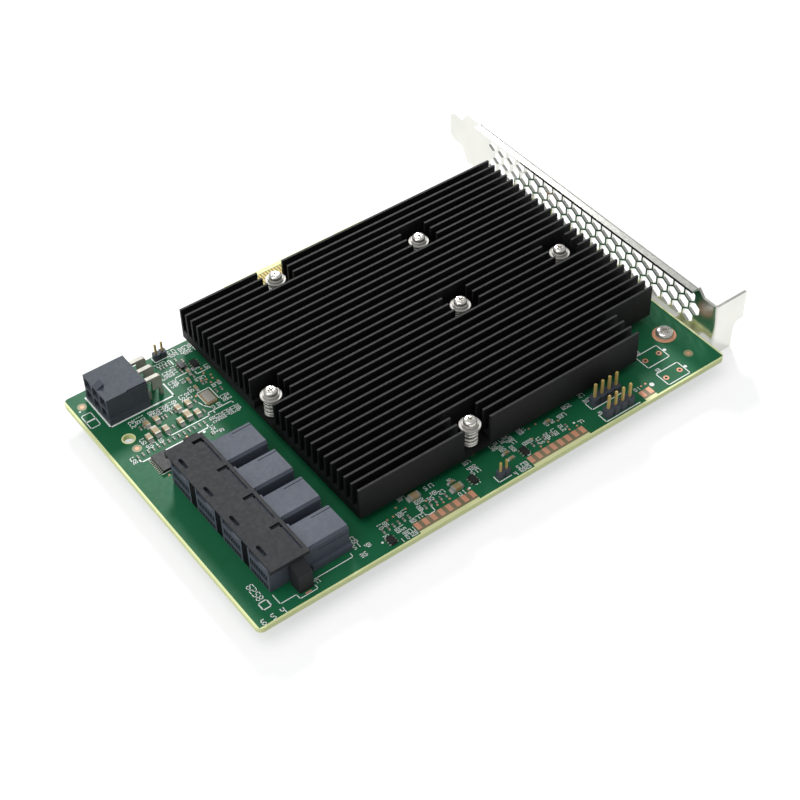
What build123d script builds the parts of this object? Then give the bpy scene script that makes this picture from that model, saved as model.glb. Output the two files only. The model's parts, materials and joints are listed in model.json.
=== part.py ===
from build123d import *
import os

# A full height storage controller card: circuit board, finned heatsink, folded bracket, connectors.
# Millimetres. Everything is drawn from the board's front near corner, on its component face, with
# X along the card to the bracket, Y to the gold edge and Z up. The finished pieces are then moved
# so that the origin is the key notch's centre at the tip of the gold edge, on the component face.

# Circuit board
BOARD_LENGTH = 156.1
BOARD_HEIGHT = 111.15
BOARD_THICK = 1.57
BOARD_CORNER = 1.8
TONGUE_LENGTH = 12.65
KEY_TO_END = 56.85
KEY_WIDTH = 1.9
KEY_DEPTH = 8.25
TONGUE_BEHIND_KEY = 12.15
TONGUE_BEFORE_KEY = 39.15
TONGUE_CHAMFER = 0.6
BEVEL_LENGTH = 1.3
BEVEL_DEPTH = 0.36
TOOLING_HOLE_X = 7.4
TOOLING_HOLE_SHIFT = 1.55
TOOLING_HOLE_DIAMETER = 3.0

# Gold contacts of the edge and copper pads of the near edge
CONTACT_PITCH = 1.0
CONTACT_WIDTH = 0.7
CONTACT_LENGTH = 5.6
CONTACT_THICK = 0.05
CONTACT_TIP_GAP = 1.7
CONTACTS_BEHIND_KEY = 11
CONTACTS_BEFORE_KEY = 38
KEY_TO_CONTACT = 1.5
PAD_PITCH = 2.54
PAD_WIDTH = 1.4
PAD_LENGTH = 2.3
PAD_Y = 3.05
PAD_ROW_STARTS = (50.5, 88.1, 127.76)
PAD_COUNTS = (8, 8, 2)

# Heatsink
SINK_FRONT = 38.8
SINK_TO_END = 7.3
SINK_NEAR_LIMIT = 12.0
SINK_UNDERSIDE = 2.8
SINK_BASE = 3.1
SINK_TOP = 13.3
FIRST_FIN_TO_EDGE = 1.35
FIN_PITCH = 2.927
FIN_THICK = 0.9
SHORT_FIN_COUNT = 4
SHORT_FIN_CUT = 15.7
POCKET_LENGTH = 8.6
POCKET_FIN_COUNT = 3

# Heatsink screws, in pairs across each package: how far each stands from the sink's front end or
# its rear end, and the fin that it is in line with, counted from the gold edge or back from the last
FRONT_PAIR_FROM_FRONT = (29.8, 3.0)
FRONT_PAIR_FINS = (1, 14)
MIDDLE_PAIR_FROM_REAR = (45.2, 71.9)
MIDDLE_PAIR_FINS = (15, -2)
REAR_PAIR_FROM_REAR = (37.7, 8.8)
REAR_PAIR_FINS = (5, 15)
SINK_SCREW_SHANK = 2.9
SINK_SCREW_HEAD = 3.9
SINK_HEAD_HEIGHT = 1.9
SINK_SCREW_END = 0.6
WASHER_DIAMETER = 6.0
WASHER_THICK = 0.5
WASHER_TOP = 10.7
SPRING_OUTER = 4.4
SPRING_WIRE = 0.55
SPRING_TURNS = 3.5
SPRING_STEP_COUNT = 8
NUT_FLATS = 5.5
NUT_THICK = 1.8
HOLE_CLEARANCE = 0.15
HEAD_SIDE_COUNT = 10
SHANK_SIDE_COUNT = 8

# Packages under the heatsink: two controllers and one switch
CONTROLLER_SIZE = 25.0
SWITCH_SIZE = 19.0
SUBSTRATE_THICK = 1.5
LID_INSET = 2.5
LID_THICK = 0.9

# Bracket
BRACKET_GAP = 1.5
SHEET = 0.86
BRACKET_WIDTH = 18.42
BRACKET_TOP = 14.3
LIP_WIDTH = 3.2
LIP_START = 14.6
LIP_END = 112.0
BEND_RADIUS = 0.4
TAB_Y = 7.0
TAB_REACH = 11.7
TAB_TOP = 12.0
TAB_BOTTOM = -7.0
TAB_NOTCH_WIDTH = 3.5
TAB_NOTCH_TOP = 2.3
TAB_NOTCH_RADIUS = 2.3
PLATE_NEAR_TOP = 12.0
PLATE_STEP_Y = 12.4
PLATE_FAR_END = 118.5
BRACKET_LENGTH = 120.02
TONGUE_TOP = 11.0
TONGUE_WIDTH = 10.19
TONGUE_TAPER = 2.6
EAR_WIDTH = 9.0
EAR_RELIEF = 0.8
EAR_END_MARGIN = 4.4
HEX_PITCH = 4.42
HEX_WEB = 0.6
HEX_ROWS = 3
HEX_COLUMNS = 21
HEX_FIRST_Y = 17.3
HEX_FIRST_Z = 2.3

# Screws of the bracket
BRACKET_SCREW_TO_END = 7.5
BRACKET_SCREW_NEAR = 17.0
BRACKET_SCREW_TO_FAR_EDGE = 13.1
BRACKET_SCREW_SHANK = 2.9
BRACKET_SCREW_HEAD = 5.2
BRACKET_HEAD_HEIGHT = 1.7
HEAD_CROWN = 0.45
RECESS_WIDTH = 0.5
RECESS_DEPTH = 0.8

# Storage ports
PORT_COUNT = 4
PORT_PITCH = 12.2
PORT_FIRST_Y = 12.8
PORT_FRONT = 8.8
PORT_REAR = 32.8
PORT_FACE_WIDTH = 9.4
PORT_BLOCK_START = 21.0
PORT_BLOCK_WIDTH = 9.5
PORT_BLOCK_HEIGHT = 8.0
PORT_BEVEL = 0.7
PORT_FLANGE = 1.1
PORT_FLANGE_HEIGHT = 1.9
PORT_WALL = 0.75
PORT_GROOVE_Z = 5.7
PORT_GROOVE_SETBACK = 2.3
PORT_GROOVE_SIZE = 0.25
LATCH_FLOOR = 7.0
LATCH_DEPTH = 9.0
COMB_FLOORS = (0.25, 3.2)
COMB_CEILINGS = (1.9, 5.5)
COMB_DEPTH = 6.5
COMB_COUNT = 10
COMB_PITCH = 0.79
COMB_RIB = 0.27
PORT_PIN_WIDTH = 0.3
PORT_PIN_THICK = 0.3
PORT_PIN_SETBACK = 0.4

# Cover over the storage ports
COVER_REAR = 20.3
COVER_NEAR = 6.7
COVER_FAR = 57.0
COVER_TOP = 9.3
COVER_THICK = 0.6
COVER_WEB = 1.6
COVER_WEB_SETBACK = 1.6
LATCH_SLOT_X = 10.65
LATCH_SLOT_WIDTH = 1.05
LATCH_SLOT_LENGTH = 4.0
LATCH_SLOT_SHIFT = 0.95
LATCH_SLOT_CORNER = 0.3
GROOVE_BACK = 19.3
GROOVE_WIDTH = 0.6
GROOVE_ARM = 3.0
GROOVE_ARM_WIDTH = 1.0
GROOVE_LENGTH = 10.3
GROOVE_SHIFT = 6.1
POCKET_DEPTH = 0.2
CHEEK_SETBACK = 0.2
CHEEK_THICK = 1.2
CHEEK_BOTTOM = 7.5
CHEEK_CORNER = 0.35
LEG_WIDTH = 4.15
NEAR_LEG_X = 14.3
FAR_LEG_X = 16.4
LEG_REACH = 3.7
LEG_SEAM = 6.2
LEG_TOP = 7.9

# Power connector
POWER_FRONT = 6.1
POWER_LENGTH = 12.55
POWER_WIDTH = 13.65
POWER_TO_FAR_EDGE = 2.8
POWER_TOP = 9.1
POWER_PITCH = 4.2
POWER_COLUMN_COUNT = 3
POWER_CELL = 3.4
POWER_CELL_DEPTH = 9.5
POWER_CELL_CORNER = 0.9
POWER_ROW_LOW = 2.75
POWER_LEDGE_HEIGHT = 2.05
POWER_LEDGE_DEPTH = 0.35
POWER_REBATE_LENGTH = 6.2
POWER_REBATE_HEIGHT = 0.7
POWER_REBATE_DEPTH = 0.3
RAMP_LENGTH = 2.4
RAMP_WIDTH = 2.4
RAMP_HEIGHT = 1.1
BLADE_WIDTH = 1.25
BLADE_THICK = 0.9
BLADE_PIN = 1.1
BLADE_PIN_START = 1.5
BLADE_TAIL = 3.0
BLADE_REACHES = (1.6, 5.25)
BLADE_BEND = 1.0
WEB_START = 2.25
WEB_BOTTOM = 2.9
WEB_THICK = 0.3

# Pin headers, of a wide and a fine pitch, in rows along the card
PIN_BELOW = 2.9
HEADER_NOTCH = 0.18
WIDE_PITCH = 2.54
WIDE_PIN_SIZE = 0.64
WIDE_PIN_TOP = 7.5
WIDE_HEADER_HEIGHT = 2.54
WIDE_PIN_COUNT = 4
WIDE_HEADER_X = 114.9
INNER_ROW_Y = 8.53
OUTER_ROW_Y = 2.98
FINE_PITCH = 2.0
FINE_PIN_SIZE = 0.5
FINE_PIN_TOP = 5.4
FINE_HEADER_HEIGHT = 1.95
FINE_PIN_COUNT = 2
NEAR_HEADER_X = 77.8
NEAR_HEADER_Y = 3.35
FAR_HEADER_X = 29.45
FAR_HEADER_TO_EDGE = 1.3

# Small chips and the crystal
MONITOR_X = 8.4
MONITOR_Y = 58.3
MONITOR_LENGTH = 6.5
MONITOR_WIDTH = 4.4
MONITOR_TOP = 1.1
MONITOR_STANDOFF = 0.1
MONITOR_LEADS = 10
LEAD_PITCH = 0.65
LEAD_WIDTH = 0.25
LEAD_THICK = 0.15
LEAD_REACH = 1.0
LEAD_RISE = 0.6
CRYSTAL_X = 32.6
CRYSTAL_TO_POWER = 7.15
CRYSTAL_SIZE = (3.2, 5.0)
CRYSTAL_BASE = 0.6
CRYSTAL_LID = 0.3
CRYSTAL_LID_INSET = 0.35
CRYSTAL_CORNER = 0.3

# Chip capacitors, as length, width and height. Those between the power connector and the small
# chip lie along Y and stand on a shift from the middle of that strip; the rest are at fixed places
LARGE_CHIP = (3.1, 1.7, 1.25)
MEDIUM_CHIP = (2.2, 1.45, 1.1)
SMALL_CHIP = (1.6, 0.8, 0.7)
LARGE_STRIP_XS = (14.4, 24.5)
LARGE_STRIP_SHIFT = -1.0
MEDIUM_STRIP_XS = (11.8, 17.1, 21.7, 27.1)
MEDIUM_STRIP_SHIFT = -1.9
FAR_STRIP_XS = (13.85, 16.9, 23.8, 26.9)
FAR_STRIP_SHIFT = 2.85
LARGE_NEAR_PLACES = ((55.5, 11.3), (66.2, 6.9))
SMALL_NEAR_PLACES = ((84.1, 8.7), (84.1, 6.4), (100.3, 10.9), (66.3, 9.4))
SMALL_FAR_XS = (31.9, 31.9, 33.6)
SMALL_FAR_TO_EDGE = (14.4, 18.3, 11.6)
TERMINAL_SHARE = 0.2

# Small leaded chips: body centres, with a row of short leads on each long side
SMALL_IC_SIZE = (1.7, 2.6)
SMALL_IC_TOP = 0.95
SMALL_IC_STANDOFF = 0.1
NEAR_IC_PLACES = ((42.2, 3.0), (71.3, 6.6), (88.3, 6.2))
FAR_IC_XS = (33.3, 36.6)
FAR_IC_TO_EDGE = (8.4, 9.9)
SMALL_IC_LEAD_COUNT = 3
SMALL_IC_LEAD_PITCH = 0.95
SMALL_IC_LEAD = (0.55, 0.4)

NODES = {}


# Helpers

def block(x0, x1, y0, y1, z0, z1):
    return Pos(x0, y0, z0) * Box(x1 - x0, y1 - y0, z1 - z0, align=(Align.MIN, Align.MIN, Align.MIN))


def cylinder(x, y, z0, z1, diameter):
    return Pos(x, y, z0) * Cylinder(diameter / 2, z1 - z0, align=(Align.CENTER, Align.CENTER, Align.MIN))


def many_sided(x, y, z0, z1, diameter, sides):
    return Pos(x, y, z0) * extrude(RegularPolygon(diameter / 2, sides), amount=z1 - z0)


def prism_along_x(points, x0, x1):
    return extrude(Plane.YZ.offset(x0) * Polygon(*points, align=None), amount=x1 - x0)


def prism_along_y(points, y0, y1):
    return extrude(Plane.XZ.offset(-y1) * Polygon(*points, align=None), amount=y1 - y0)


def corner_wedge(plane, u, v, turn, radius, length):
    """What lies between a square corner and its round, on the side of the corner that turn points to."""
    wedge = Rectangle(radius, radius, align=(Align.MIN, Align.MIN)) - Pos(radius, radius) * Circle(radius)
    return extrude(plane * Pos(u, v) * Rot(0, 0, turn) * wedge, amount=length)


def wedge_along_y(x, z, turn, radius, y0, y1):
    return corner_wedge(Plane.XZ.offset(-y1), x, z, turn, radius, y1 - y0)


def wedge_along_z(x, y, turn, radius, z0, z1):
    return corner_wedge(Plane.XY.offset(z0), x, y, turn, radius, z1 - z0)


def centred(middle, count, pitch):
    start = middle - pitch * (count - 1) / 2
    return [start + pitch * i for i in range(count)]


# Places that several parts share

def board_body():
    return BOARD_HEIGHT - TONGUE_LENGTH


def key_x():
    return BOARD_LENGTH - KEY_TO_END


def plate_x():
    return BOARD_LENGTH + BRACKET_GAP


def sink_rear():
    return BOARD_LENGTH - SINK_TO_END


def sink_floor():
    return SINK_UNDERSIDE + SINK_BASE


def first_fin_y():
    return board_body() - FIRST_FIN_TO_EDGE


def fin_count():
    return int((first_fin_y() - SINK_NEAR_LIMIT) / FIN_PITCH) + 1


def fin_y(index):
    return first_fin_y() - FIN_PITCH * (index % fin_count())


def screw_pairs():
    front = [(SINK_FRONT + x, fin_y(fin)) for x, fin in zip(FRONT_PAIR_FROM_FRONT, FRONT_PAIR_FINS)]
    middle = [(sink_rear() - x, fin_y(fin)) for x, fin in zip(MIDDLE_PAIR_FROM_REAR, MIDDLE_PAIR_FINS)]
    rear = [(sink_rear() - x, fin_y(fin)) for x, fin in zip(REAR_PAIR_FROM_REAR, REAR_PAIR_FINS)]
    return front, middle, rear


def sink_screw_places():
    return [place for pair in screw_pairs() for place in pair]


def package_centres():
    """The two controllers and the switch, each midway between its pair of screws."""
    return [((a[0] + b[0]) / 2, (a[1] + b[1]) / 2) for a, b in screw_pairs()]


def bracket_screw_places():
    x = BOARD_LENGTH - BRACKET_SCREW_TO_END
    return [(x, BRACKET_SCREW_NEAR), (x, board_body() - BRACKET_SCREW_TO_FAR_EDGE)]


def port_ys():
    return [PORT_FIRST_Y + PORT_PITCH * i for i in range(PORT_COUNT)]


def power_rear():
    return POWER_FRONT + POWER_LENGTH


def power_far():
    return board_body() - POWER_TO_FAR_EDGE


def power_near():
    return power_far() - POWER_WIDTH


def power_ys():
    return centred((power_near() + power_far()) / 2, POWER_COLUMN_COUNT, POWER_PITCH)


def power_rows():
    return zip((POWER_ROW_LOW, POWER_ROW_LOW + POWER_PITCH), BLADE_REACHES)


def strip_middle():
    """Halfway between the small chip's far end and the power connector's near side."""
    return (MONITOR_Y + MONITOR_LENGTH + power_near()) / 2


def headers():
    """Each header's first pin, number of pins, and its pitch, pin size, pin top and base height."""
    wide = (WIDE_PITCH, WIDE_PIN_SIZE, WIDE_PIN_TOP, WIDE_HEADER_HEIGHT)
    fine = (FINE_PITCH, FINE_PIN_SIZE, FINE_PIN_TOP, FINE_HEADER_HEIGHT)
    far_y = board_body() - FAR_HEADER_TO_EDGE
    return {
        "header_far_corner": ((FAR_HEADER_X, far_y), FINE_PIN_COUNT, fine),
        "header_near_edge": ((NEAR_HEADER_X, NEAR_HEADER_Y), FINE_PIN_COUNT, fine),
        "header_inner_row": ((WIDE_HEADER_X, INNER_ROW_Y), WIDE_PIN_COUNT, wide),
        "header_outer_row": ((WIDE_HEADER_X, OUTER_ROW_Y), WIDE_PIN_COUNT, wide),
    }


# Circuit board

def board_outline():
    height = board_body()
    body = Pos(BOARD_LENGTH / 2, height / 2) * RectangleRounded(BOARD_LENGTH, height, BOARD_CORNER)
    x0 = key_x() - TONGUE_BEFORE_KEY
    x1 = key_x() + TONGUE_BEHIND_KEY
    root = board_body() - BOARD_CORNER
    tongue = Polygon(
        (x0, root), (x1, root), (x1, BOARD_HEIGHT - TONGUE_CHAMFER), (x1 - TONGUE_CHAMFER, BOARD_HEIGHT),
        (x0 + TONGUE_CHAMFER, BOARD_HEIGHT), (x0, BOARD_HEIGHT - TONGUE_CHAMFER), align=None)
    key_end = Pos(key_x(), BOARD_HEIGHT - KEY_DEPTH) * Circle(KEY_WIDTH / 2)
    key_slot = Pos(key_x(), BOARD_HEIGHT - KEY_DEPTH / 2) * Rectangle(KEY_WIDTH, KEY_DEPTH)
    return body + tongue - key_end - key_slot


def tongue_bevels():
    x0 = key_x() - TONGUE_BEFORE_KEY
    x1 = key_x() + TONGUE_BEHIND_KEY
    tip = BOARD_HEIGHT
    upper = ((tip - BEVEL_LENGTH, 0), (tip, 0), (tip, -BEVEL_DEPTH))
    lower = ((tip - BEVEL_LENGTH, -BOARD_THICK), (tip, BEVEL_DEPTH - BOARD_THICK), (tip, -BOARD_THICK))
    return [prism_along_x(points, x0, x1) for points in (upper, lower)]


def board_holes():
    sink_hole = SINK_SCREW_SHANK + 2 * HOLE_CLEARANCE
    bracket_hole = BRACKET_SCREW_SHANK + 2 * HOLE_CLEARANCE
    holes = [(TOOLING_HOLE_X, strip_middle() + TOOLING_HOLE_SHIFT, TOOLING_HOLE_DIAMETER)]
    holes += [(x, y, bracket_hole) for x, y in bracket_screw_places()]
    covered = [many_sided(x, y, -BOARD_THICK, 0, sink_hole, HEAD_SIDE_COUNT) for x, y in sink_screw_places()]
    return covered + [cylinder(x, y, -BOARD_THICK, 0, diameter) for x, y, diameter in holes]


def soldered_holes():
    """The holes that the power connector's blades pass through."""
    half = BLADE_PIN / 2
    ends = [power_rear() + reach for z, reach in power_rows()]
    return [block(x - BLADE_THICK, x, y - half, y + half, -BOARD_THICK, 0) for x in ends for y in power_ys()]


def circuit_board():
    sheet = extrude(board_outline(), amount=-BOARD_THICK)
    return sheet - tongue_bevels() - board_holes() - soldered_holes() - header_pins()


def edge_contacts():
    behind = [key_x() + KEY_TO_CONTACT + CONTACT_PITCH * i for i in range(CONTACTS_BEHIND_KEY)]
    before = [key_x() - KEY_TO_CONTACT - CONTACT_PITCH * i for i in range(CONTACTS_BEFORE_KEY)]
    y1 = BOARD_HEIGHT - CONTACT_TIP_GAP
    half = CONTACT_WIDTH / 2
    faces = ((0, CONTACT_THICK), (-BOARD_THICK - CONTACT_THICK, -BOARD_THICK))
    return [block(x - half, x + half, y1 - CONTACT_LENGTH, y1, z0, z1)
            for x in behind + before for z0, z1 in faces]


def edge_pads():
    centres = [start + PAD_PITCH * i for start, count in zip(PAD_ROW_STARTS, PAD_COUNTS)
               for i in range(count)]
    return [block(x - PAD_WIDTH / 2, x + PAD_WIDTH / 2, PAD_Y - PAD_LENGTH / 2, PAD_Y + PAD_LENGTH / 2,
                  0, CONTACT_THICK) for x in centres]


# Heatsink

def heatsink():
    near = fin_y(-1) - FIN_THICK / 2
    far = fin_y(0) + FIN_THICK / 2
    rear = sink_rear()
    sink = block(SINK_FRONT, rear, near, far, SINK_UNDERSIDE, sink_floor())
    ys = [fin_y(index) for index in range(fin_count())]
    sink = sink + [block(SINK_FRONT, rear, y - FIN_THICK / 2, y + FIN_THICK / 2, sink_floor(), SINK_TOP)
                   for y in ys]
    corner_y = fin_y(-1 - SHORT_FIN_COUNT) - FIN_THICK / 2
    sink = sink - block(rear - SHORT_FIN_CUT, rear, near, corner_y, SINK_UNDERSIDE, SINK_TOP)
    half_x = POCKET_LENGTH / 2
    half_y = POCKET_FIN_COUNT * FIN_PITCH / 2
    hole = SINK_SCREW_SHANK + 2 * HOLE_CLEARANCE
    for x, y in sink_screw_places():
        sink = sink - block(x - half_x, x + half_x, y - half_y, y + half_y, sink_floor(), SINK_TOP)
        sink = sink - many_sided(x, y, SINK_UNDERSIDE, sink_floor(), hole, HEAD_SIDE_COUNT)
    return sink


def cross_recess(x, y, top, head):
    long = head / 4
    half = RECESS_WIDTH / 2
    return [block(x - long, x + long, y - half, y + half, top - RECESS_DEPTH, top),
            block(x - half, x + half, y - long, y + long, top - RECESS_DEPTH, top)]


def pan_screw(x, y, seat, head, height, shank, end):
    cap = many_sided(x, y, seat, seat + height, head, HEAD_SIDE_COUNT)
    cap = chamfer(cap.edges().group_by(Axis.Z)[-1], height * HEAD_CROWN)
    cap = cap - cross_recess(x, y, seat + height, head)
    return cap + many_sided(x, y, end, seat, shank, SHANK_SIDE_COUNT)


def heatsink_screws():
    end = -BOARD_THICK - NUT_THICK - SINK_SCREW_END
    return [pan_screw(x, y, WASHER_TOP, SINK_SCREW_HEAD, SINK_HEAD_HEIGHT, SINK_SCREW_SHANK, end)
            for x, y in sink_screw_places()]


def heatsink_washers():
    low = WASHER_TOP - WASHER_THICK
    inner = SINK_SCREW_SHANK + HOLE_CLEARANCE
    return [many_sided(x, y, low, WASHER_TOP, WASHER_DIAMETER, HEAD_SIDE_COUNT)
            - many_sided(x, y, low, WASHER_TOP, inner, HEAD_SIDE_COUNT) for x, y in sink_screw_places()]


def coil_sections(low, high):
    """The three corners of the wire at each step of the coil."""
    radius = (SPRING_OUTER - SPRING_WIRE) / 2
    half = SPRING_WIRE / 2
    steps = int(SPRING_TURNS * SPRING_STEP_COUNT)
    sections = []
    for step in range(steps + 1):
        angle = 360 * step / SPRING_STEP_COUNT
        z = low + (high - low) * step / steps
        corners = ((radius - half, z + half), (radius - half, z - half), (radius + half, z))
        sections.append([Vector(r, 0, h).rotate(Axis.Z, angle) for r, h in corners])
    return sections


def flat_face(*corners):
    return Face(Wire.make_polygon(corners))


def heatsink_springs():
    half = SPRING_WIRE / 2
    sections = coil_sections(sink_floor() + half, WASHER_TOP - WASHER_THICK - half)
    faces = [flat_face(*reversed(sections[0])), flat_face(*sections[-1])]
    for here, there in zip(sections, sections[1:]):
        for a in range(3):
            b = (a + 1) % 3
            faces.append(flat_face(here[a], here[b], there[b]))
            faces.append(flat_face(here[a], there[b], there[a]))
    spring = Solid(Shell(faces))
    return [Pos(x, y, 0) * spring for x, y in sink_screw_places()]


def heatsink_nuts():
    low = -BOARD_THICK - NUT_THICK
    outline = RegularPolygon(NUT_FLATS / 2, 6, major_radius=False)
    return [Pos(x, y, low) * extrude(outline, amount=NUT_THICK)
            - many_sided(x, y, low, -BOARD_THICK, SINK_SCREW_SHANK, SHANK_SIDE_COUNT)
            for x, y in sink_screw_places()]


# Packages under the heatsink

def square_block(centre, size, z0, z1):
    x, y = centre
    return block(x - size / 2, x + size / 2, y - size / 2, y + size / 2, z0, z1)


def substrate(centre, size):
    return square_block(centre, size, 0, SUBSTRATE_THICK)


def lid(centre, size):
    shell = square_block(centre, size - LID_INSET, SUBSTRATE_THICK, SUBSTRATE_THICK + LID_THICK)
    return chamfer(shell.edges().group_by(Axis.Z)[-1], LID_THICK / 3)


def thermal_pads():
    low = SUBSTRATE_THICK + LID_THICK
    sizes = (CONTROLLER_SIZE, CONTROLLER_SIZE, SWITCH_SIZE)
    return [square_block(centre, size - 2 * LID_INSET, low, SINK_UNDERSIDE)
            for centre, size in zip(package_centres(), sizes)]


# Bracket

def plate_outline():
    bottom = BRACKET_TOP - BRACKET_WIDTH
    low = TONGUE_TOP - TONGUE_WIDTH
    near = TAB_Y + SHEET
    tip = TAB_Y + BRACKET_LENGTH
    return (
        (near, bottom), (PLATE_FAR_END, bottom), (PLATE_FAR_END + TONGUE_TAPER, low),
        (tip - TONGUE_TAPER, low), (tip, low + TONGUE_TAPER / 2), (tip, TONGUE_TOP - TONGUE_TAPER / 2),
        (tip - TONGUE_TAPER, TONGUE_TOP), (PLATE_FAR_END + TONGUE_TAPER, TONGUE_TOP),
        (PLATE_FAR_END, BRACKET_TOP), (LIP_START, BRACKET_TOP), (PLATE_STEP_Y, PLATE_NEAR_TOP),
        (near, PLATE_NEAR_TOP))


def hexagon_holes():
    cell = RegularPolygon((HEX_PITCH - HEX_WEB) / 2, 6, major_radius=False, rotation=30)
    face = Plane.YZ.offset(plate_x())
    holes = []
    for row in range(HEX_ROWS):
        z = HEX_FIRST_Z + row * HEX_PITCH * 0.75 ** 0.5
        shift = -HEX_PITCH / 2 if row % 2 else 0
        for column in range(HEX_COLUMNS):
            y = HEX_FIRST_Y + shift + HEX_PITCH * column
            holes.append(extrude(face * Pos(y, z) * cell, amount=SHEET))
    return holes


def with_lip(sheet):
    """Folds the lip over the board, from the plate's top edge."""
    x = plate_x()
    outer = x + SHEET
    low = BRACKET_TOP - SHEET
    sheet = sheet + block(outer - LIP_WIDTH, x, LIP_START, LIP_END, low, BRACKET_TOP)
    sheet = sheet + wedge_along_y(x, low, 180, BEND_RADIUS, LIP_START, LIP_END)
    return sheet - wedge_along_y(outer, BRACKET_TOP, 180, BEND_RADIUS + SHEET, LIP_START, LIP_END)


def screw_tab():
    x = plate_x()
    outer = x + TAB_REACH
    notch_x = outer - TAB_NOTCH_WIDTH
    back = TAB_Y + SHEET
    tab = block(x, outer, TAB_Y, back, TAB_BOTTOM, TAB_TOP)
    tab = tab - block(notch_x, outer, TAB_Y, back, TAB_BOTTOM, TAB_NOTCH_TOP)
    return tab + wedge_along_y(notch_x, TAB_NOTCH_TOP, 270, TAB_NOTCH_RADIUS, TAB_Y, back)


def with_tab(sheet):
    """Folds the screw tab outward, from the plate's near end."""
    x = plate_x()
    sheet = sheet + screw_tab()
    sheet = sheet + wedge_along_z(x + SHEET, TAB_Y + SHEET, 0, BEND_RADIUS, BRACKET_TOP - BRACKET_WIDTH,
                                  PLATE_NEAR_TOP)
    return sheet - wedge_along_z(x, TAB_Y, 0, BEND_RADIUS + SHEET, TAB_BOTTOM, TAB_TOP)


def with_ear(sheet, screw_x, y):
    """Folds one ear in under the board and bores it for its screw."""
    x = plate_x()
    y0 = y - EAR_WIDTH / 2
    y1 = y + EAR_WIDTH / 2
    top = -BOARD_THICK
    low = top - SHEET
    sheet = sheet - block(x, x + SHEET, y0 - EAR_RELIEF, y1 + EAR_RELIEF, BRACKET_TOP - BRACKET_WIDTH, low)
    sheet = sheet + block(screw_x - EAR_END_MARGIN, x, y0, y1, low, top)
    sheet = sheet + wedge_along_y(x, top, 90, BEND_RADIUS, y0, y1)
    sheet = sheet - wedge_along_y(x + SHEET, low, 90, BEND_RADIUS + SHEET, y0, y1)
    return sheet - many_sided(screw_x, y, low, top, BRACKET_SCREW_SHANK, SHANK_SIDE_COUNT)


def bracket():
    sheet = prism_along_x(plate_outline(), plate_x(), plate_x() + SHEET) - hexagon_holes()
    sheet = with_tab(with_lip(sheet))
    for x, y in bracket_screw_places():
        sheet = with_ear(sheet, x, y)
    return sheet


def bracket_screws():
    end = -BOARD_THICK - SHEET - SINK_SCREW_END
    return [pan_screw(x, y, 0, BRACKET_SCREW_HEAD, BRACKET_HEAD_HEIGHT, BRACKET_SCREW_SHANK, end)
            for x, y in bracket_screw_places()]


# Storage ports

def comb_places(port_y):
    """The middle, floor and ceiling of each narrow opening in a port's face."""
    return [(y, floor, ceiling) for y in centred(port_y, COMB_COUNT, COMB_PITCH)
            for floor, ceiling in zip(COMB_FLOORS, COMB_CEILINGS)]


def port_grooves(y):
    near = y - PORT_BLOCK_WIDTH / 2
    far = y + PORT_BLOCK_WIDTH / 2 - 2 * PORT_BEVEL
    size = PORT_GROOVE_SIZE
    x0 = PORT_BLOCK_START + PORT_GROOVE_SETBACK
    middle = (PORT_BLOCK_START + PORT_REAR) / 2
    return [block(x0, PORT_REAR, near, near + size, PORT_GROOVE_Z, PORT_GROOVE_Z + size),
            block(middle, PORT_REAR, far - size, far, PORT_BLOCK_HEIGHT - size, PORT_BLOCK_HEIGHT)]


def port_body(y):
    half_block = PORT_BLOCK_WIDTH / 2
    half_face = PORT_FACE_WIDTH / 2
    rear = block(PORT_BLOCK_START, PORT_REAR, y - half_block, y + half_block, 0, PORT_BLOCK_HEIGHT)
    rear = chamfer(rear.edges().filter_by(Axis.X).group_by(Axis.Z)[-1], PORT_BEVEL)
    under_cover = COVER_TOP - COVER_THICK
    face = block(PORT_FRONT, PORT_BLOCK_START, y - half_face, y + half_face, 0, under_cover)
    flange = block(PORT_BLOCK_START, PORT_REAR, y - half_block - PORT_FLANGE, y + half_block + PORT_FLANGE,
                   0, PORT_FLANGE_HEIGHT)
    half = half_face - PORT_WALL
    latch = block(PORT_FRONT, PORT_FRONT + LATCH_DEPTH, y - half, y + half, LATCH_FLOOR, under_cover)
    half = (COMB_PITCH - COMB_RIB) / 2
    comb = [block(PORT_FRONT, PORT_FRONT + COMB_DEPTH, middle - half, middle + half, floor, ceiling)
            for middle, floor, ceiling in comb_places(y)]
    return rear + face + flange - latch - comb - port_grooves(y)


def port_contacts():
    x0 = PORT_FRONT + PORT_PIN_SETBACK
    x1 = PORT_FRONT + COMB_DEPTH
    half = PORT_PIN_WIDTH / 2
    return [block(x0, x1, y - half, y + half, floor, floor + PORT_PIN_THICK)
            for port_y in port_ys() for y, floor, ceiling in comb_places(port_y)]


def cover_cuts(y):
    """One port's latch slot, the L shaped slot round its snap arm, and the arm's sunk face."""
    low = COVER_TOP - COVER_THICK
    slot_y = y + LATCH_SLOT_SHIFT
    outline = Rectangle(LATCH_SLOT_WIDTH, LATCH_SLOT_LENGTH)
    outline = chamfer(outline.vertices(), LATCH_SLOT_WIDTH * LATCH_SLOT_CORNER)
    slot = Pos(LATCH_SLOT_X, slot_y, low) * extrude(outline, amount=COVER_THICK)
    far = y + GROOVE_SHIFT
    near = far - GROOVE_LENGTH
    arm = GROOVE_BACK - GROOVE_ARM
    return [slot,
            block(GROOVE_BACK - GROOVE_WIDTH, GROOVE_BACK, near, far, low, COVER_TOP),
            block(arm, GROOVE_BACK, far - GROOVE_ARM_WIDTH, far, low, COVER_TOP),
            block(arm, GROOVE_BACK, near, far, COVER_TOP - POCKET_DEPTH, COVER_TOP)]


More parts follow.
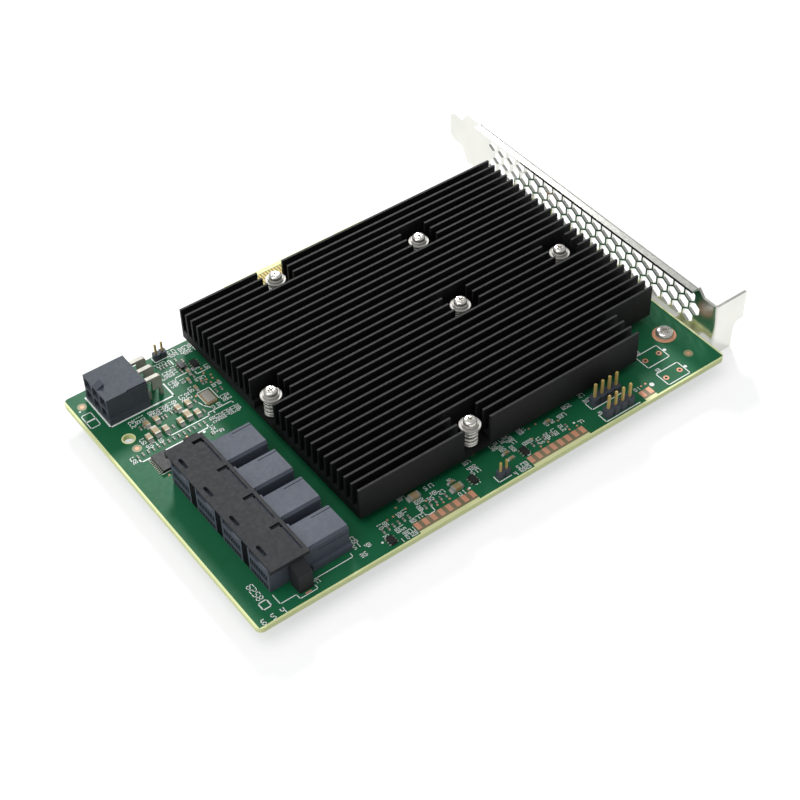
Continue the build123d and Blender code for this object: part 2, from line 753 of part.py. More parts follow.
def cover_leg(x, root, side):
    """A leg down to the board, beyond the cover's near end (side -1) or its far end (side 1)."""
    foot = root + side * LEG_REACH
    inner = root - side * CHEEK_SETBACK
    outline = ((inner, 0), (foot, 0), (foot, LEG_SEAM), (root, LEG_TOP), (inner, LEG_TOP))
    return prism_along_x(outline, x, x + LEG_WIDTH)


def cover_cheeks():
    """Thick edges under both ends of the cover, with their corners taken off."""
    top = COVER_TOP - COVER_THICK
    ends = (COVER_NEAR + CHEEK_SETBACK, COVER_FAR - CHEEK_SETBACK - CHEEK_THICK)
    cheeks = []
    for y in ends:
        cheek = block(PORT_FRONT, COVER_REAR, y, y + CHEEK_THICK, CHEEK_BOTTOM, top)
        cheeks.append(chamfer(cheek.edges().filter_by(Axis.X), CHEEK_CORNER))
    return cheeks


def storage_cover():
    low = COVER_TOP - COVER_THICK
    plate = block(PORT_FRONT, COVER_REAR, COVER_NEAR, COVER_FAR, low, COVER_TOP)
    for y in port_ys():
        plate = plate - cover_cuts(y)
    gaps = [(a + b) / 2 for a, b in zip(port_ys(), port_ys()[1:])]
    webs = [block(PORT_FRONT + COVER_WEB_SETBACK, COVER_REAR, y - COVER_WEB / 2, y + COVER_WEB / 2, 0, low)
            for y in gaps]
    near_leg = cover_leg(NEAR_LEG_X, COVER_NEAR + CHEEK_SETBACK, -1)
    far_leg = cover_leg(FAR_LEG_X, COVER_FAR - CHEEK_SETBACK, 1)
    return plate + webs + cover_cheeks() + near_leg + far_leg


# Power connector

def power_shell():
    """The housing's outside: a wide ledge at the board and a rebate along the near top edge."""
    near = power_near()
    far = power_far()
    rear = power_rear()
    inset = POWER_LEDGE_DEPTH
    ledge = block(POWER_FRONT, rear, near, far, 0, POWER_LEDGE_HEIGHT)
    upper = block(POWER_FRONT, rear, near + inset, far - inset, POWER_LEDGE_HEIGHT, POWER_TOP)
    rebate = block(rear - POWER_REBATE_LENGTH, rear, near + inset, near + inset + POWER_REBATE_DEPTH,
                   POWER_TOP - POWER_REBATE_HEIGHT, POWER_TOP)
    return ledge + upper - rebate


def power_cell(y, z):
    half = POWER_CELL / 2
    slope = half - POWER_CELL_CORNER
    outline = ((y - half, z - half), (y + half, z - half), (y + half, z + slope), (y + slope, z + half),
               (y - slope, z + half), (y - half, z + slope))
    return prism_along_x(outline, POWER_FRONT, POWER_FRONT + POWER_CELL_DEPTH)


def power_housing():
    shell = power_shell()
    pin = BLADE_PIN / 2
    for z, reach in power_rows():
        for y in power_ys():
            shell = shell - power_cell(y, z)
            shell = shell - block(POWER_FRONT, power_rear(), y - pin, y + pin, z - pin, z + pin)
    middle = power_ys()[1]
    ramp = ((POWER_FRONT, POWER_TOP), (POWER_FRONT + RAMP_LENGTH, POWER_TOP),
            (POWER_FRONT + RAMP_LENGTH, POWER_TOP + RAMP_HEIGHT))
    return shell + prism_along_y(ramp, middle - RAMP_WIDTH / 2, middle + RAMP_WIDTH / 2)


def power_blade(reach, y, z):
    """A contact in its cell, a flat strip behind the housing bent down to the board, and its pin."""
    rear = power_rear()
    end = rear + reach
    leg = end - BLADE_THICK
    half = BLADE_WIDTH / 2
    pin = BLADE_PIN / 2
    top = z + BLADE_THICK / 2
    low = z - BLADE_THICK / 2
    contact = block(POWER_FRONT + BLADE_PIN_START, rear, y - pin, y + pin, z - pin, z + pin)
    strip = block(rear, end, y - half, y + half, low, top) + block(leg, end, y - half, y + half, 0, low)
    strip = strip - wedge_along_y(end, top, 180, BLADE_BEND, y - half, y + half)
    tail = block(leg, end, y - pin, y + pin, -BLADE_TAIL, 0)
    blade = contact + strip + tail
    if leg > rear + WEB_START:
        blade = blade + block(rear + WEB_START, leg, y - half, y - half + WEB_THICK, WEB_BOTTOM, low)
    return blade


# Pin headers

def square_pins(place, count, style):
    x, y = place
    pitch, size, top, height = style
    half = size / 2
    pins = []
    for centre in [x + pitch * i for i in range(count)]:
        pin = block(centre - half, centre + half, y - half, y + half, -PIN_BELOW, top)
        pins.append(chamfer(pin.edges().group_by(Axis.Z)[-1], size / 4))
    return pins


def header_pins():
    return [pin for header in headers().values() for pin in square_pins(*header)]


def header_base(place, count, style):
    x, y = place
    pitch, size, top, height = style
    half = pitch / 2
    cells = []
    for centre in [x + pitch * i for i in range(count)]:
        cell = block(centre - half, centre + half, y - half, y + half, 0, height)
        cells.append(chamfer(cell.edges().filter_by(Axis.Z), pitch * HEADER_NOTCH))
    return cells[0] + cells[1:] - square_pins(place, count, style)


# Small chips, crystal and capacitors

def monitor_chip():
    return block(MONITOR_X, MONITOR_X + MONITOR_WIDTH, MONITOR_Y, MONITOR_Y + MONITOR_LENGTH,
                 MONITOR_STANDOFF, MONITOR_TOP)


def gull_lead(root_x, y, side):
    half = LEAD_WIDTH / 2
    knee = root_x + side * LEAD_REACH * 0.5
    toe = root_x + side * LEAD_REACH
    points = ((root_x, LEAD_RISE), (root_x, LEAD_RISE - LEAD_THICK), (knee - side * LEAD_THICK, 0), (toe, 0),
              (toe, LEAD_THICK), (knee, LEAD_THICK))
    return prism_along_y(points, y - half, y + half)


def monitor_leads():
    leads = []
    for y in centred(MONITOR_Y + MONITOR_LENGTH / 2, MONITOR_LEADS, LEAD_PITCH):
        leads.append(gull_lead(MONITOR_X, y, -1))
        leads.append(gull_lead(MONITOR_X + MONITOR_WIDTH, y, 1))
    return leads


def small_ic_places():
    far = [(x, board_body() - gap) for x, gap in zip(FAR_IC_XS, FAR_IC_TO_EDGE)]
    return list(NEAR_IC_PLACES) + far


def small_ic_bodies():
    half_x, half_y = (size / 2 for size in SMALL_IC_SIZE)
    return [block(x - half_x, x + half_x, y - half_y, y + half_y, SMALL_IC_STANDOFF, SMALL_IC_TOP)
            for x, y in small_ic_places()]


def small_ic_leads():
    half_x = SMALL_IC_SIZE[0] / 2
    reach, height = SMALL_IC_LEAD
    half = LEAD_WIDTH / 2
    leads = []
    for x, middle in small_ic_places():
        for y in centred(middle, SMALL_IC_LEAD_COUNT, SMALL_IC_LEAD_PITCH):
            leads.append(block(x - half_x - reach, x - half_x, y - half, y + half, 0, height))
            leads.append(block(x + half_x, x + half_x + reach, y - half, y + half, 0, height))
    return leads


def crystal_piece(inset, z0, z1):
    x = CRYSTAL_X
    y = power_near() - CRYSTAL_TO_POWER
    half_x = CRYSTAL_SIZE[0] / 2 - inset
    half_y = CRYSTAL_SIZE[1] / 2 - inset
    piece = block(x - half_x, x + half_x, y - half_y, y + half_y, z0, z1)
    return chamfer(piece.edges().filter_by(Axis.Z), CRYSTAL_CORNER)


def chips_along_y():
    """Centre and size of each capacitor that lies along Y, without those that would not fit."""
    middle = strip_middle()
    rows = ((LARGE_STRIP_XS, LARGE_STRIP_SHIFT, LARGE_CHIP),
            (MEDIUM_STRIP_XS, MEDIUM_STRIP_SHIFT, MEDIUM_CHIP),
            (FAR_STRIP_XS, FAR_STRIP_SHIFT, MEDIUM_CHIP))
    chips = [(x, middle + shift, size) for xs, shift, size in rows for x in xs]
    chips = [(x, y, size) for x, y, size in chips if y + size[0] / 2 < power_near()]
    far = zip(SMALL_FAR_XS, SMALL_FAR_TO_EDGE)
    return chips + [(x, board_body() - gap, SMALL_CHIP) for x, gap in far]


def chips_along_x():
    chips = [(x, y, LARGE_CHIP) for x, y in LARGE_NEAR_PLACES]
    return chips + [(x, y, SMALL_CHIP) for x, y in SMALL_NEAR_PLACES]


def chip_slices(shares):
    """A slice of each capacitor between each two shares of its length."""
    slices = []
    for start, end in shares:
        for x, y, (length, width, height) in chips_along_x():
            half = width / 2
            slices.append(block(x + length * start, x + length * end, y - half, y + half, 0, height))
        for x, y, (length, width, height) in chips_along_y():
            half = width / 2
            slices.append(block(x - half, x + half, y + length * start, y + length * end, 0, height))
    return slices


def capacitor_bodies():
    reach = 0.5 - TERMINAL_SHARE
    return chip_slices(((-reach, reach),))


def capacitor_terminals():
    reach = 0.5 - TERMINAL_SHARE
    return chip_slices(((-0.5, -reach), (reach, 0.5)))


# The nodes

def build():
    NODES["circuit_board"] = circuit_board()
    NODES["edge_contacts"] = edge_contacts()
    NODES["edge_pads"] = edge_pads()
    NODES["heatsink"] = heatsink()
    NODES["heatsink_screws"] = heatsink_screws()
    NODES["heatsink_washers"] = heatsink_washers()
    NODES["heatsink_springs"] = heatsink_springs()
    NODES["heatsink_nuts"] = heatsink_nuts()
    *controllers, switch = package_centres()
    NODES["controller_substrates"] = [substrate(centre, CONTROLLER_SIZE) for centre in controllers]
    NODES["controller_lids"] = [lid(centre, CONTROLLER_SIZE) for centre in controllers]
    NODES["switch_substrate"] = substrate(switch, SWITCH_SIZE)
    NODES["switch_lid"] = lid(switch, SWITCH_SIZE)
    NODES["thermal_pads"] = thermal_pads()
    NODES["bracket"] = bracket()
    NODES["bracket_screws"] = bracket_screws()
    for number, y in enumerate(port_ys(), start=1):
        NODES[f"storage_port_{number}"] = port_body(y)
    NODES["storage_contacts"] = port_contacts()
    NODES["storage_cover"] = storage_cover()
    NODES["power_housing"] = power_housing()
    NODES["power_blades"] = [power_blade(reach, y, z) for z, reach in power_rows() for y in power_ys()]
    for name, header in headers().items():
        NODES[name] = header_base(*header)
    NODES["header_pins"] = header_pins()
    NODES["monitor_chip"] = monitor_chip()
    NODES["monitor_leads"] = monitor_leads()
    NODES["small_ic_bodies"] = small_ic_bodies()
    NODES["small_ic_leads"] = small_ic_leads()
    NODES["crystal_base"] = crystal_piece(0, 0, CRYSTAL_BASE)
    NODES["crystal_lid"] = crystal_piece(CRYSTAL_LID_INSET, CRYSTAL_BASE, CRYSTAL_BASE + CRYSTAL_LID)
    NODES["capacitor_bodies"] = capacitor_bodies()
    NODES["capacitor_terminals"] = capacitor_terminals()


def save():
    os.makedirs("parts", exist_ok=True)
    to_key = Pos(-key_x(), -BOARD_HEIGHT, 0)
    for name, shape in NODES.items():
        group = Compound(children=list(shape)) if isinstance(shape, list) else shape
        export_step(to_key * group, f"parts/{name}.step")


build()
save()
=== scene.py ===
import json
import math

import bpy
from mathutils import Matrix, Vector


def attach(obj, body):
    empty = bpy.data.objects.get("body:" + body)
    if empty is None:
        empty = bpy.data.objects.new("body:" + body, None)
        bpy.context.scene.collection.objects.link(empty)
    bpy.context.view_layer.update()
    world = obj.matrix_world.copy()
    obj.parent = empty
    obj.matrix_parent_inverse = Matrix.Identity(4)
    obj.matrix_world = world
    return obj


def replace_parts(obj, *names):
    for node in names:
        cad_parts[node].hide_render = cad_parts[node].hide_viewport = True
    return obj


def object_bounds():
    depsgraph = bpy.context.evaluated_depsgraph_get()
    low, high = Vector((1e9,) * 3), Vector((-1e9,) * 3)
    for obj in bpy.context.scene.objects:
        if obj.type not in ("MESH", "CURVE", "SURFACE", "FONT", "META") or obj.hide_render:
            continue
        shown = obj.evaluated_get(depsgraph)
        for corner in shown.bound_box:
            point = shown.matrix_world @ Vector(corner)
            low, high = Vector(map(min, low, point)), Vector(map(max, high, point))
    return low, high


# Looks of a storage controller card. Places are given in millimetres from the board's front near
# corner, as X along the card and Y to the gold edge, and moved to the model's own origin by place().

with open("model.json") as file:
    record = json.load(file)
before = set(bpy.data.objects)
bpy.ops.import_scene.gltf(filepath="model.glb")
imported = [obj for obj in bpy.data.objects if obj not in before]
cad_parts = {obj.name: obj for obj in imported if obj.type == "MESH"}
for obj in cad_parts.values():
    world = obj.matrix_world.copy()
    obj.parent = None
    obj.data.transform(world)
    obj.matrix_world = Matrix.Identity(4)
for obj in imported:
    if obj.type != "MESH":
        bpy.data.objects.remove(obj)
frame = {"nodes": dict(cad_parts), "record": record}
cad_box = [list(map(float, corner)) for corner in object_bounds()]

MM = 0.001
BOARD_LENGTH = 156.1

# The model's origin on the board: the middle of the key notch, and the tip of the gold edge
KEY_X = 99.25
GOLD_TIP_Y = 111.15

# The photograph's camera: its place and nearest sight in metres, its axes, and its lens in millimetres
CAMERA_PLACE = (-0.212711, -0.331650, 0.327198)
CAMERA_RIGHT = (0.801880, -0.597149, -0.020028)
CAMERA_UP = (0.436754, 0.562960, 0.701656)
CAMERA_BACK = (-0.407718, -0.571392, 0.712234)
CAMERA_LENS = 75.4765
CAMERA_SENSOR = 36.0
CAMERA_NEAR = 0.01

# Places of the heatsink's screws and of the bracket's screws
SINK_SCREWS = ((68.6, 94.223), (41.8, 56.172), (103.6, 53.245), (76.9, 15.194), (111.1, 82.515),
               (140.0, 53.245))
BRACKET_SCREWS = ((148.6, 17.0), (148.6, 85.4))

# The heatsink's screw pockets: half their size, their floor's level here and in the CAD, and how far the
# cut reaches up past the CAD's floor
POCKET_HALF_X = 4.28
POCKET_HALF_Y = 4.37
POCKET_FLOOR = 3.7
CAD_POCKET_FLOOR = 5.9
CUT_OVERLAP = 1.0

# Fin tips: where they start, the share of a fin's thickness that is left there, and the most it measures
TIP_LEVEL = 13.25
TIP_SHARE = 0.72
THICKEST_FIN = 1.0

# What sits on each spring: a flat washer and a lock washer, with their radii and the size of their chamfers
WASHER_LOW = 10.2
WASHER_TOP = 10.7
LOCK_WASHER_TOP = 11.25
WASHER_BORE = 1.5
WASHER_RADIUS = 3.0
WASHER_CHAMFER = 0.07
LOCK_WASHER_RADIUS = 2.27
LOCK_WASHER_CHAMFER = 0.05

# The springs, with the share of their rise that their end turns give up
SPRING_RADIUS = 1.98
SPRING_WIRE = 0.27
SPRING_TURNS = 6
SPRING_CLOSING = 0.07

# The port cover's near leg: where it starts along the card, its width, its root and top, how far it is
# moved, and how near to its sides its corners are
LEG_START = 10.15
LEG_WIDTH = 4.15
LEG_ROOT_Y = 7.3
LEG_TOP = 8.0
LEG_SHIFT = LEG_WIDTH
SAME_PLACE = 0.01

# The storage ports: their middles across the card, their fronts, and the rows of small cavities in each,
# with faces of painted shade CAVITY_SHADE inside them
PORT_FIRST = 12.8
PORT_PITCH = 12.2
PORT_PLACES = [PORT_FIRST + PORT_PITCH * index for index in range(4)]
PORT_FRONT = 8.8
PORT_HALF = 4.7
CAVITY_ROWS = ((0.25, 1.9), (3.2, 5.5))
CAVITY_COUNT = 10
CAVITY_PITCH = 0.79
CAVITY_HALF = 0.25
CAVITY_SHADE = 0.02

# Webs between the ports, in painted shade: how far behind the fronts they start and end, and their levels
WEB_START = 0.1
WEB_END = 0.7
WEB_LOW = 0.05
WEB_TOP = 8.0

# The solder mask: its margins at the board's edges, where it ends at the gold tip, and how upright the
# normal of a face with mask is
MASK_MARGIN = 0.6
MASK_REAR_MARGIN = 0.5
MASK_TIP_Y = 109.6
LEVEL_NORMAL = 0.9

# Material grain: how much wider the mottle is than the grain, and the grain's depth in metres
MOTTLE_WIDTH = 12
GRAIN_DEPTH = 0.00002

# Smooth pieces keep an edge sharp where its faces meet at more than this angle, in degrees
SHARP_ANGLE = 38


def place(x, y, z):
    """A point in board millimetres as a point of the model, in metres."""
    return Vector(((x - KEY_X) * MM, (y - GOLD_TIP_Y) * MM, z * MM))


def new_object(name, data):
    """A new object in the scene's own collection."""
    piece = bpy.data.objects.new(name, data)
    bpy.context.scene.collection.objects.link(piece)
    return piece


# Shader helpers

class Shader:
    """One material's node tree, with short calls to add and join its nodes."""

    def __init__(self, name):
        self.material = bpy.data.materials.new(name)
        self.material.use_nodes = True
        self.tree = self.material.node_tree
        self.surface = self.tree.nodes["Principled BSDF"]
        self.geometry = self.add("ShaderNodeNewGeometry")
        self.place = self.geometry.outputs["Position"]

    def add(self, kind, inputs=None, **settings):
        node = self.tree.nodes.new(kind)
        for key, value in settings.items():
            setattr(node, key, value)
        for key, value in (inputs or {}).items():
            self.put(node.inputs[key], value)
        return node

    def put(self, socket, value):
        if isinstance(value, bpy.types.NodeSocket):
            self.tree.links.new(value, socket)
        else:
            socket.default_value = value

    def noise(self, scale, detail=4.0):
        inputs = {"Vector": self.place, "Scale": scale, "Detail": detail, "Roughness": 0.55}
        return self.add("ShaderNodeTexNoise", inputs).outputs["Fac"]

    def spread(self, value, low, high):
        """Maps the middle of a noise's range to low and high."""
        inputs = {"Value": value, "From Min": 0.3, "From Max": 0.7, "To Min": low, "To Max": high}
        return self.add("ShaderNodeMapRange", inputs).outputs["Result"]

    def math(self, kind, a, b=0.0):
        return self.add("ShaderNodeMath", {0: a, 1: b}, operation=kind).outputs[0]

    def mix(self, share, a, b):
        node = self.add("ShaderNodeMix", data_type="RGBA")
        self.put(node.inputs["Factor"], share)
        for key, colour in (("A", a), ("B", b)):
            linked = isinstance(colour, bpy.types.NodeSocket)
            self.put(node.inputs[key], colour if linked else (*colour, 1.0))
        return node.outputs["Result"]

    def bump(self, height, strength):
        inputs = {"Height": height, "Strength": strength, "Distance": GRAIN_DEPTH}
        self.put(self.surface.inputs["Normal"], self.add("ShaderNodeBump", inputs).outputs["Normal"])

    def shade(self, **inputs):
        names = {"colour": "Base Color", "rough": "Roughness", "metal": "Metallic",
                 "level": "Specular IOR Level"}
        for key, value in inputs.items():
            self.put(self.surface.inputs[names[key]], value)


def plain(name, dark, pale, rough, metal=0.0, scale=900.0, bump=0.0, level=0.5):
    """A material with a fine mottle of two near colours, a varied gloss and a small grain."""
    shader = Shader(name)
    grain = shader.noise(scale)
    wide = shader.noise(scale / MOTTLE_WIDTH, detail=2.0)
    shader.shade(colour=shader.mix(shader.spread(wide, 0.0, 1.0), dark, pale),
                 rough=shader.spread(grain, rough[0], rough[1]), metal=metal, level=level)
    if bump:
        shader.bump(grain, bump)
    return shader.material


# Materials

def solder_mask():
    """Green on the board's faces, and pale bare laminate on its sides and along its edges."""
    shader = Shader("solder_mask")
    wide = shader.noise(60.0, detail=3.0)
    green = shader.mix(shader.spread(wide, 0.0, 1.0), (0.003, 0.116, 0.041), (0.005, 0.142, 0.056))
    lime = shader.mix(shader.noise(500.0), (0.78, 0.84, 0.40), (0.90, 0.95, 0.50))
    split = shader.add("ShaderNodeSeparateXYZ", {0: shader.place})
    normal = shader.add("ShaderNodeSeparateXYZ", {0: shader.geometry.outputs["Normal"]})
    upright = shader.math("LESS_THAN", shader.math("ABSOLUTE", normal.outputs["Z"]), LEVEL_NORMAL)
    near = shader.math("LESS_THAN", split.outputs["Y"], place(0, MASK_MARGIN, 0).y)
    front = shader.math("LESS_THAN", split.outputs["X"], place(MASK_MARGIN, 0, 0).x)
    rear = shader.math("GREATER_THAN", split.outputs["X"], place(BOARD_LENGTH - MASK_REAR_MARGIN, 0, 0).x)
    tip = shader.math("GREATER_THAN", split.outputs["Y"], place(0, MASK_TIP_Y, 0).y)
    bare = upright
    for edge in (near, front, rear, tip):
        bare = shader.math("MAXIMUM", bare, edge)
    shader.shade(colour=shader.mix(bare, green, lime), rough=shader.spread(shader.noise(700.0), 0.50, 0.60),
                 level=0.32)
    return shader.material


def gold():
    return plain("gold", (0.58, 0.42, 0.13), (0.66, 0.49, 0.18), rough=(0.56, 0.64), metal=0.15, level=0.3)


def copper():
    return plain("copper", (0.78, 0.36, 0.22), (0.86, 0.44, 0.28), rough=(0.40, 0.52), metal=0.3)


def black_anodised():
    return plain("black_anodised", (0.005, 0.005, 0.006), (0.008, 0.008, 0.009), rough=(0.56, 0.66),
                 scale=1400.0, bump=0.15, level=0.28)


def nickel():
    return plain("nickel", (0.74, 0.72, 0.67), (0.82, 0.80, 0.75), rough=(0.16, 0.24), metal=0.8)


def satin_nickel():
    return plain("satin_nickel", (0.44, 0.43, 0.40), (0.52, 0.51, 0.47), rough=(0.50, 0.60), metal=0.35)


def spring_steel():
    return plain("spring_steel", (0.86, 0.84, 0.79), (0.94, 0.92, 0.87), rough=(0.22, 0.32), metal=0.6)


def bright_sheet():
    return plain("bright_sheet", (0.72, 0.72, 0.67), (0.78, 0.78, 0.73), rough=(0.20, 0.27), metal=1.0)


def substrate():
    return plain("substrate", (0.02, 0.11, 0.04), (0.03, 0.14, 0.06), rough=(0.30, 0.42))


def lid_metal():
    return plain("lid_metal", (0.42, 0.40, 0.35), (0.50, 0.48, 0.42), rough=(0.50, 0.60), metal=0.3)


def thermal_pad():
    return plain("thermal_pad", (0.34, 0.36, 0.40), (0.42, 0.44, 0.48), rough=(0.70, 0.85), bump=0.3)


def port_plastic():
    return plain("port_plastic", (0.084, 0.098, 0.126), (0.102, 0.116, 0.148), rough=(0.56, 0.68), bump=0.2,
                 level=0.3)


def cover_plastic():
    return plain("cover_plastic", (0.022, 0.023, 0.026), (0.026, 0.027, 0.030), rough=(0.56, 0.68),
                 bump=0.25, level=0.24)


def black_plastic():
    return plain("black_plastic", (0.062, 0.072, 0.090), (0.078, 0.089, 0.109), rough=(0.58, 0.70), bump=0.2,
                 level=0.3)


def tinned_copper():
    return plain("tinned_copper", (0.42, 0.41, 0.36), (0.50, 0.49, 0.43), rough=(0.50, 0.60), metal=0.35)


def chip_plastic():
    return plain("chip_plastic", (0.012, 0.012, 0.012), (0.020, 0.020, 0.020), rough=(0.48, 0.60), bump=0.3)


def ceramic():
    return plain("ceramic", (0.36, 0.26, 0.12), (0.48, 0.36, 0.20), rough=(0.42, 0.56))


def solder():
    return plain("solder", (0.46, 0.46, 0.43), (0.54, 0.54, 0.50), rough=(0.50, 0.60), metal=0.35)


def white_print():
    return plain("white_print", (0.90, 0.95, 0.91), (0.96, 0.98, 0.96), rough=(0.50, 0.64))


def bare_laminate():
    return plain("bare_laminate", (0.20, 0.17, 0.09), (0.28, 0.24, 0.14), rough=(0.34, 0.46))


def edge_laminate():
    return plain("edge_laminate", (0.80, 0.82, 0.40), (0.90, 0.92, 0.50), rough=(0.40, 0.52))


def clear_ring():
    return plain("clear_ring", (0.30, 0.28, 0.14), (0.40, 0.36, 0.20), rough=(0.30, 0.42))


def grey_ceramic():
    return plain("grey_ceramic", (0.14, 0.11, 0.09), (0.22, 0.18, 0.15), rough=(0.42, 0.56))


# Painted shade: near-black for the insides of the ports' cavities and the webs between the ports
def deep_shade():
    return plain("deep_shade", (0.003, 0.003, 0.005), (0.006, 0.006, 0.009), rough=(0.70, 0.80), level=0.1)


def resistor_glass():
    return plain("resistor_glass", (0.012, 0.012, 0.014), (0.022, 0.022, 0.025), rough=(0.26, 0.38))


MATERIALS = {build.__name__: build() for build in (
    solder_mask, gold, copper, black_anodised, nickel, satin_nickel, spring_steel, bright_sheet, substrate,
    lid_metal, thermal_pad, port_plastic, cover_plastic, black_plastic, tinned_copper, chip_plastic, ceramic,
    solder, white_print, bare_laminate, edge_laminate, clear_ring, grey_ceramic, deep_shade, resistor_glass)}


def dress_nodes():
    """Gives each CAD node the material of its slot in the record."""
    for row in frame["record"]["subparts"]:
        piece = frame["nodes"][row["node"]]
        piece.data.materials.clear()
        piece.data.materials.append(MATERIALS[row["material_slot"]])


# Shapes, in board millimetres

class Shape:
    """Collects the corners and faces of one visual piece."""

    def __init__(self):
        self.corners = []
        self.faces = []

    def face(self, points):
        start = len(self.corners)
        self.corners += [place(*point) for point in points]
        self.faces.append(list(range(start, start + len(points))))

    def box(self, x0, x1, y0, y1, z0, z1):
        start = len(self.corners)
        outline = ((x0, y0), (x1, y0), (x1, y1), (x0, y1))
        self.corners += [place(x, y, z) for z in (z0, z1) for x, y in outline]
        rows = ((3, 2, 1, 0), (4, 5, 6, 7), (0, 1, 5, 4), (1, 2, 6, 5), (2, 3, 7, 6), (3, 0, 4, 7))
        self.faces += [[start + i for i in row] for row in rows]

    def flat(self, x0, x1, y0, y1, z):
        """A level rectangle that faces up."""
        self.face([(x0, y0, z), (x1, y0, z), (x1, y1, z), (x0, y1, z)])

    def grid(self, rows):
        """Joins rows of points of one length, each row closed on itself."""
        start = len(self.corners)
        width = len(rows[0])
        self.corners += [place(*point) for row in rows for point in row]
        for a in range(len(rows) - 1):
            for b in range(width):
                c = (b + 1) % width
                low = start + a * width
                high = low + width
                self.faces.append([low + b, low + c, high + c, high + b])

    def disc(self, x, y, z, radius, sides=24):
        turns = [2 * math.pi * i / sides for i in range(sides)]
        self.face([(x + radius * math.cos(t), y + radius * math.sin(t), z) for t in turns])

    def ring(self, x, y, z, inner, outer, sides=32):
        turns = [2 * math.pi * i / sides for i in range(sides)]
        self.grid([[(x + r * math.cos(t), y + r * math.sin(t), z) for t in turns] for r in (outer, inner)])

    def strip(self, x0, y0, x1, y1, width, z):
        """A flat printed line with square ends."""
        length = math.hypot(x1 - x0, y1 - y0)
        ux = (x1 - x0) / length * width / 2
        uy = (y1 - y0) / length * width / 2
        self.face([(x0 - ux + uy, y0 - uy - ux, z), (x1 + ux + uy, y1 + uy - ux, z),
                   (x1 + ux - uy, y1 + uy + ux, z), (x0 - ux - uy, y0 - uy + ux, z)])

    def path(self, points, width, z):
        for (x0, y0), (x1, y1) in zip(points, points[1:]):
            self.strip(x0, y0, x1, y1, width, z)

    def mesh(self, name):
        mesh = bpy.data.meshes.new(name)
        mesh.from_pydata(self.corners, [], self.faces)
        return mesh

    def finish(self, name, material, smooth=False):
        """Makes the piece with its material, and hangs it from the root."""
        mesh = self.mesh(name)
        mesh.materials.append(MATERIALS[material])
        for face in mesh.polygons:
            face.use_smooth = smooth
        if smooth:
            mesh.set_sharp_from_angle(angle=math.radians(SHARP_ANGLE))
        piece = new_object(name, mesh)
        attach(piece, "root")
        return piece


# Heatsink and port cover, as the CAD's own meshes with a change of form

def copy_of(node, name):
    """A piece with a copy of a CAD node's mesh, which stands for the node."""
    piece = new_object(name, frame["nodes"][node].data.copy())
    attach(piece, "root")
    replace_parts(piece, node)
    return piece


def pocketed_heatsink():
    """The heatsink with its screw pockets cut deeper, down to the springs' seats."""
    piece = copy_of("heatsink", "pocketed_heatsink")
    cutter = Shape()
    for x, y in SINK_SCREWS:
        cutter.box(x - POCKET_HALF_X, x + POCKET_HALF_X, y - POCKET_HALF_Y, y + POCKET_HALF_Y,
                   POCKET_FLOOR, CAD_POCKET_FLOOR + CUT_OVERLAP)
    tool = new_object("pockets", cutter.mesh("pockets"))
    cut = piece.modifiers.new("pockets", "BOOLEAN")
    cut.object = tool
    cut.solver = "EXACT"
    graph = bpy.context.evaluated_depsgraph_get()
    piece.data = bpy.data.meshes.new_from_object(piece.evaluated_get(graph))
    piece.modifiers.clear()
    bpy.data.objects.remove(tool)
    taper_fins(piece.data)


def taper_fins(mesh):
    """Draws each fin's two top edges in towards its middle, as an extrusion's fins are."""
    tips = [corner for corner in mesh.vertices if corner.co.z > TIP_LEVEL * MM]
    sides = sorted({round(corner.co.y, 6) for corner in tips})
    middles = [(a + b) / 2 for a, b in zip(sides, sides[1:]) if b - a < THICKEST_FIN * MM]
    for corner in tips:
        middle = min(middles, key=lambda y: abs(y - corner.co.y))
        corner.co.y = middle + (corner.co.y - middle) * TIP_SHARE


def port_cover():
    """The cover over the ports, with its near leg where the board's print has room for it."""
    piece = copy_of("storage_cover", "port_cover")
    sides = [place(x, 0, 0).x for x in (LEG_START, LEG_START + LEG_WIDTH)]
    root = place(0, LEG_ROOT_Y, 0).y
    for corner in piece.data.vertices:
        on_side = min(abs(corner.co.x - side) for side in sides) < SAME_PLACE * MM
        if on_side and corner.co.y < root and corner.co.z < LEG_TOP * MM:
            corner.co.x += LEG_SHIFT * MM


def port_fronts():
    """Painted shade: near-black faces inside the ports' cavities, and the webs between the ports."""
    shape = Shape()
    x = PORT_FRONT + CAVITY_SHADE
    for middle in PORT_PLACES:
        for index in range(CAVITY_COUNT):
            y = middle + (index - (CAVITY_COUNT - 1) / 2) * CAVITY_PITCH
            for z0, z1 in CAVITY_ROWS:
                shape.face([(x, y - CAVITY_HALF, z0), (x, y - CAVITY_HALF, z1), (x, y + CAVITY_HALF, z1),
                            (x, y + CAVITY_HALF, z0)])
    for middle in PORT_PLACES[:-1]:
        shape.box(PORT_FRONT + WEB_START, PORT_FRONT + WEB_END, middle + PORT_HALF,
                  middle + PORT_PITCH - PORT_HALF, WEB_LOW, WEB_TOP)
    shape.finish("port_front_shades", "deep_shade")


# Springs, screws and washers, as rounder forms than the CAD's

def springs():
    """Coils that close up at both ends."""
    shape = Shape()
    sides = 8
    steps_a_turn = 24
    steps = steps_a_turn * SPRING_TURNS
    low = POCKET_FLOOR + SPRING_WIRE
    rise = WASHER_LOW - POCKET_FLOOR - 2 * SPRING_WIRE
    for x, y in SINK_SCREWS:
        rows = []
        for step in range(steps + 1):
            share = step / steps
            turn = 2 * math.pi * SPRING_TURNS * share
            z = low + rise * (share - SPRING_CLOSING * math.sin(2 * math.pi * share))
            row = []
            for side in range(sides):
                around = 2 * math.pi * side / sides
                reach = SPRING_RADIUS + SPRING_WIRE * math.cos(around)
                row.append((x + reach * math.cos(turn), y + reach * math.sin(turn),
                            z + SPRING_WIRE * math.sin(around)))
            rows.append(row)
        shape.grid(rows)
    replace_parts(shape.finish("round_springs", "spring_steel", smooth=True), "heatsink_springs")


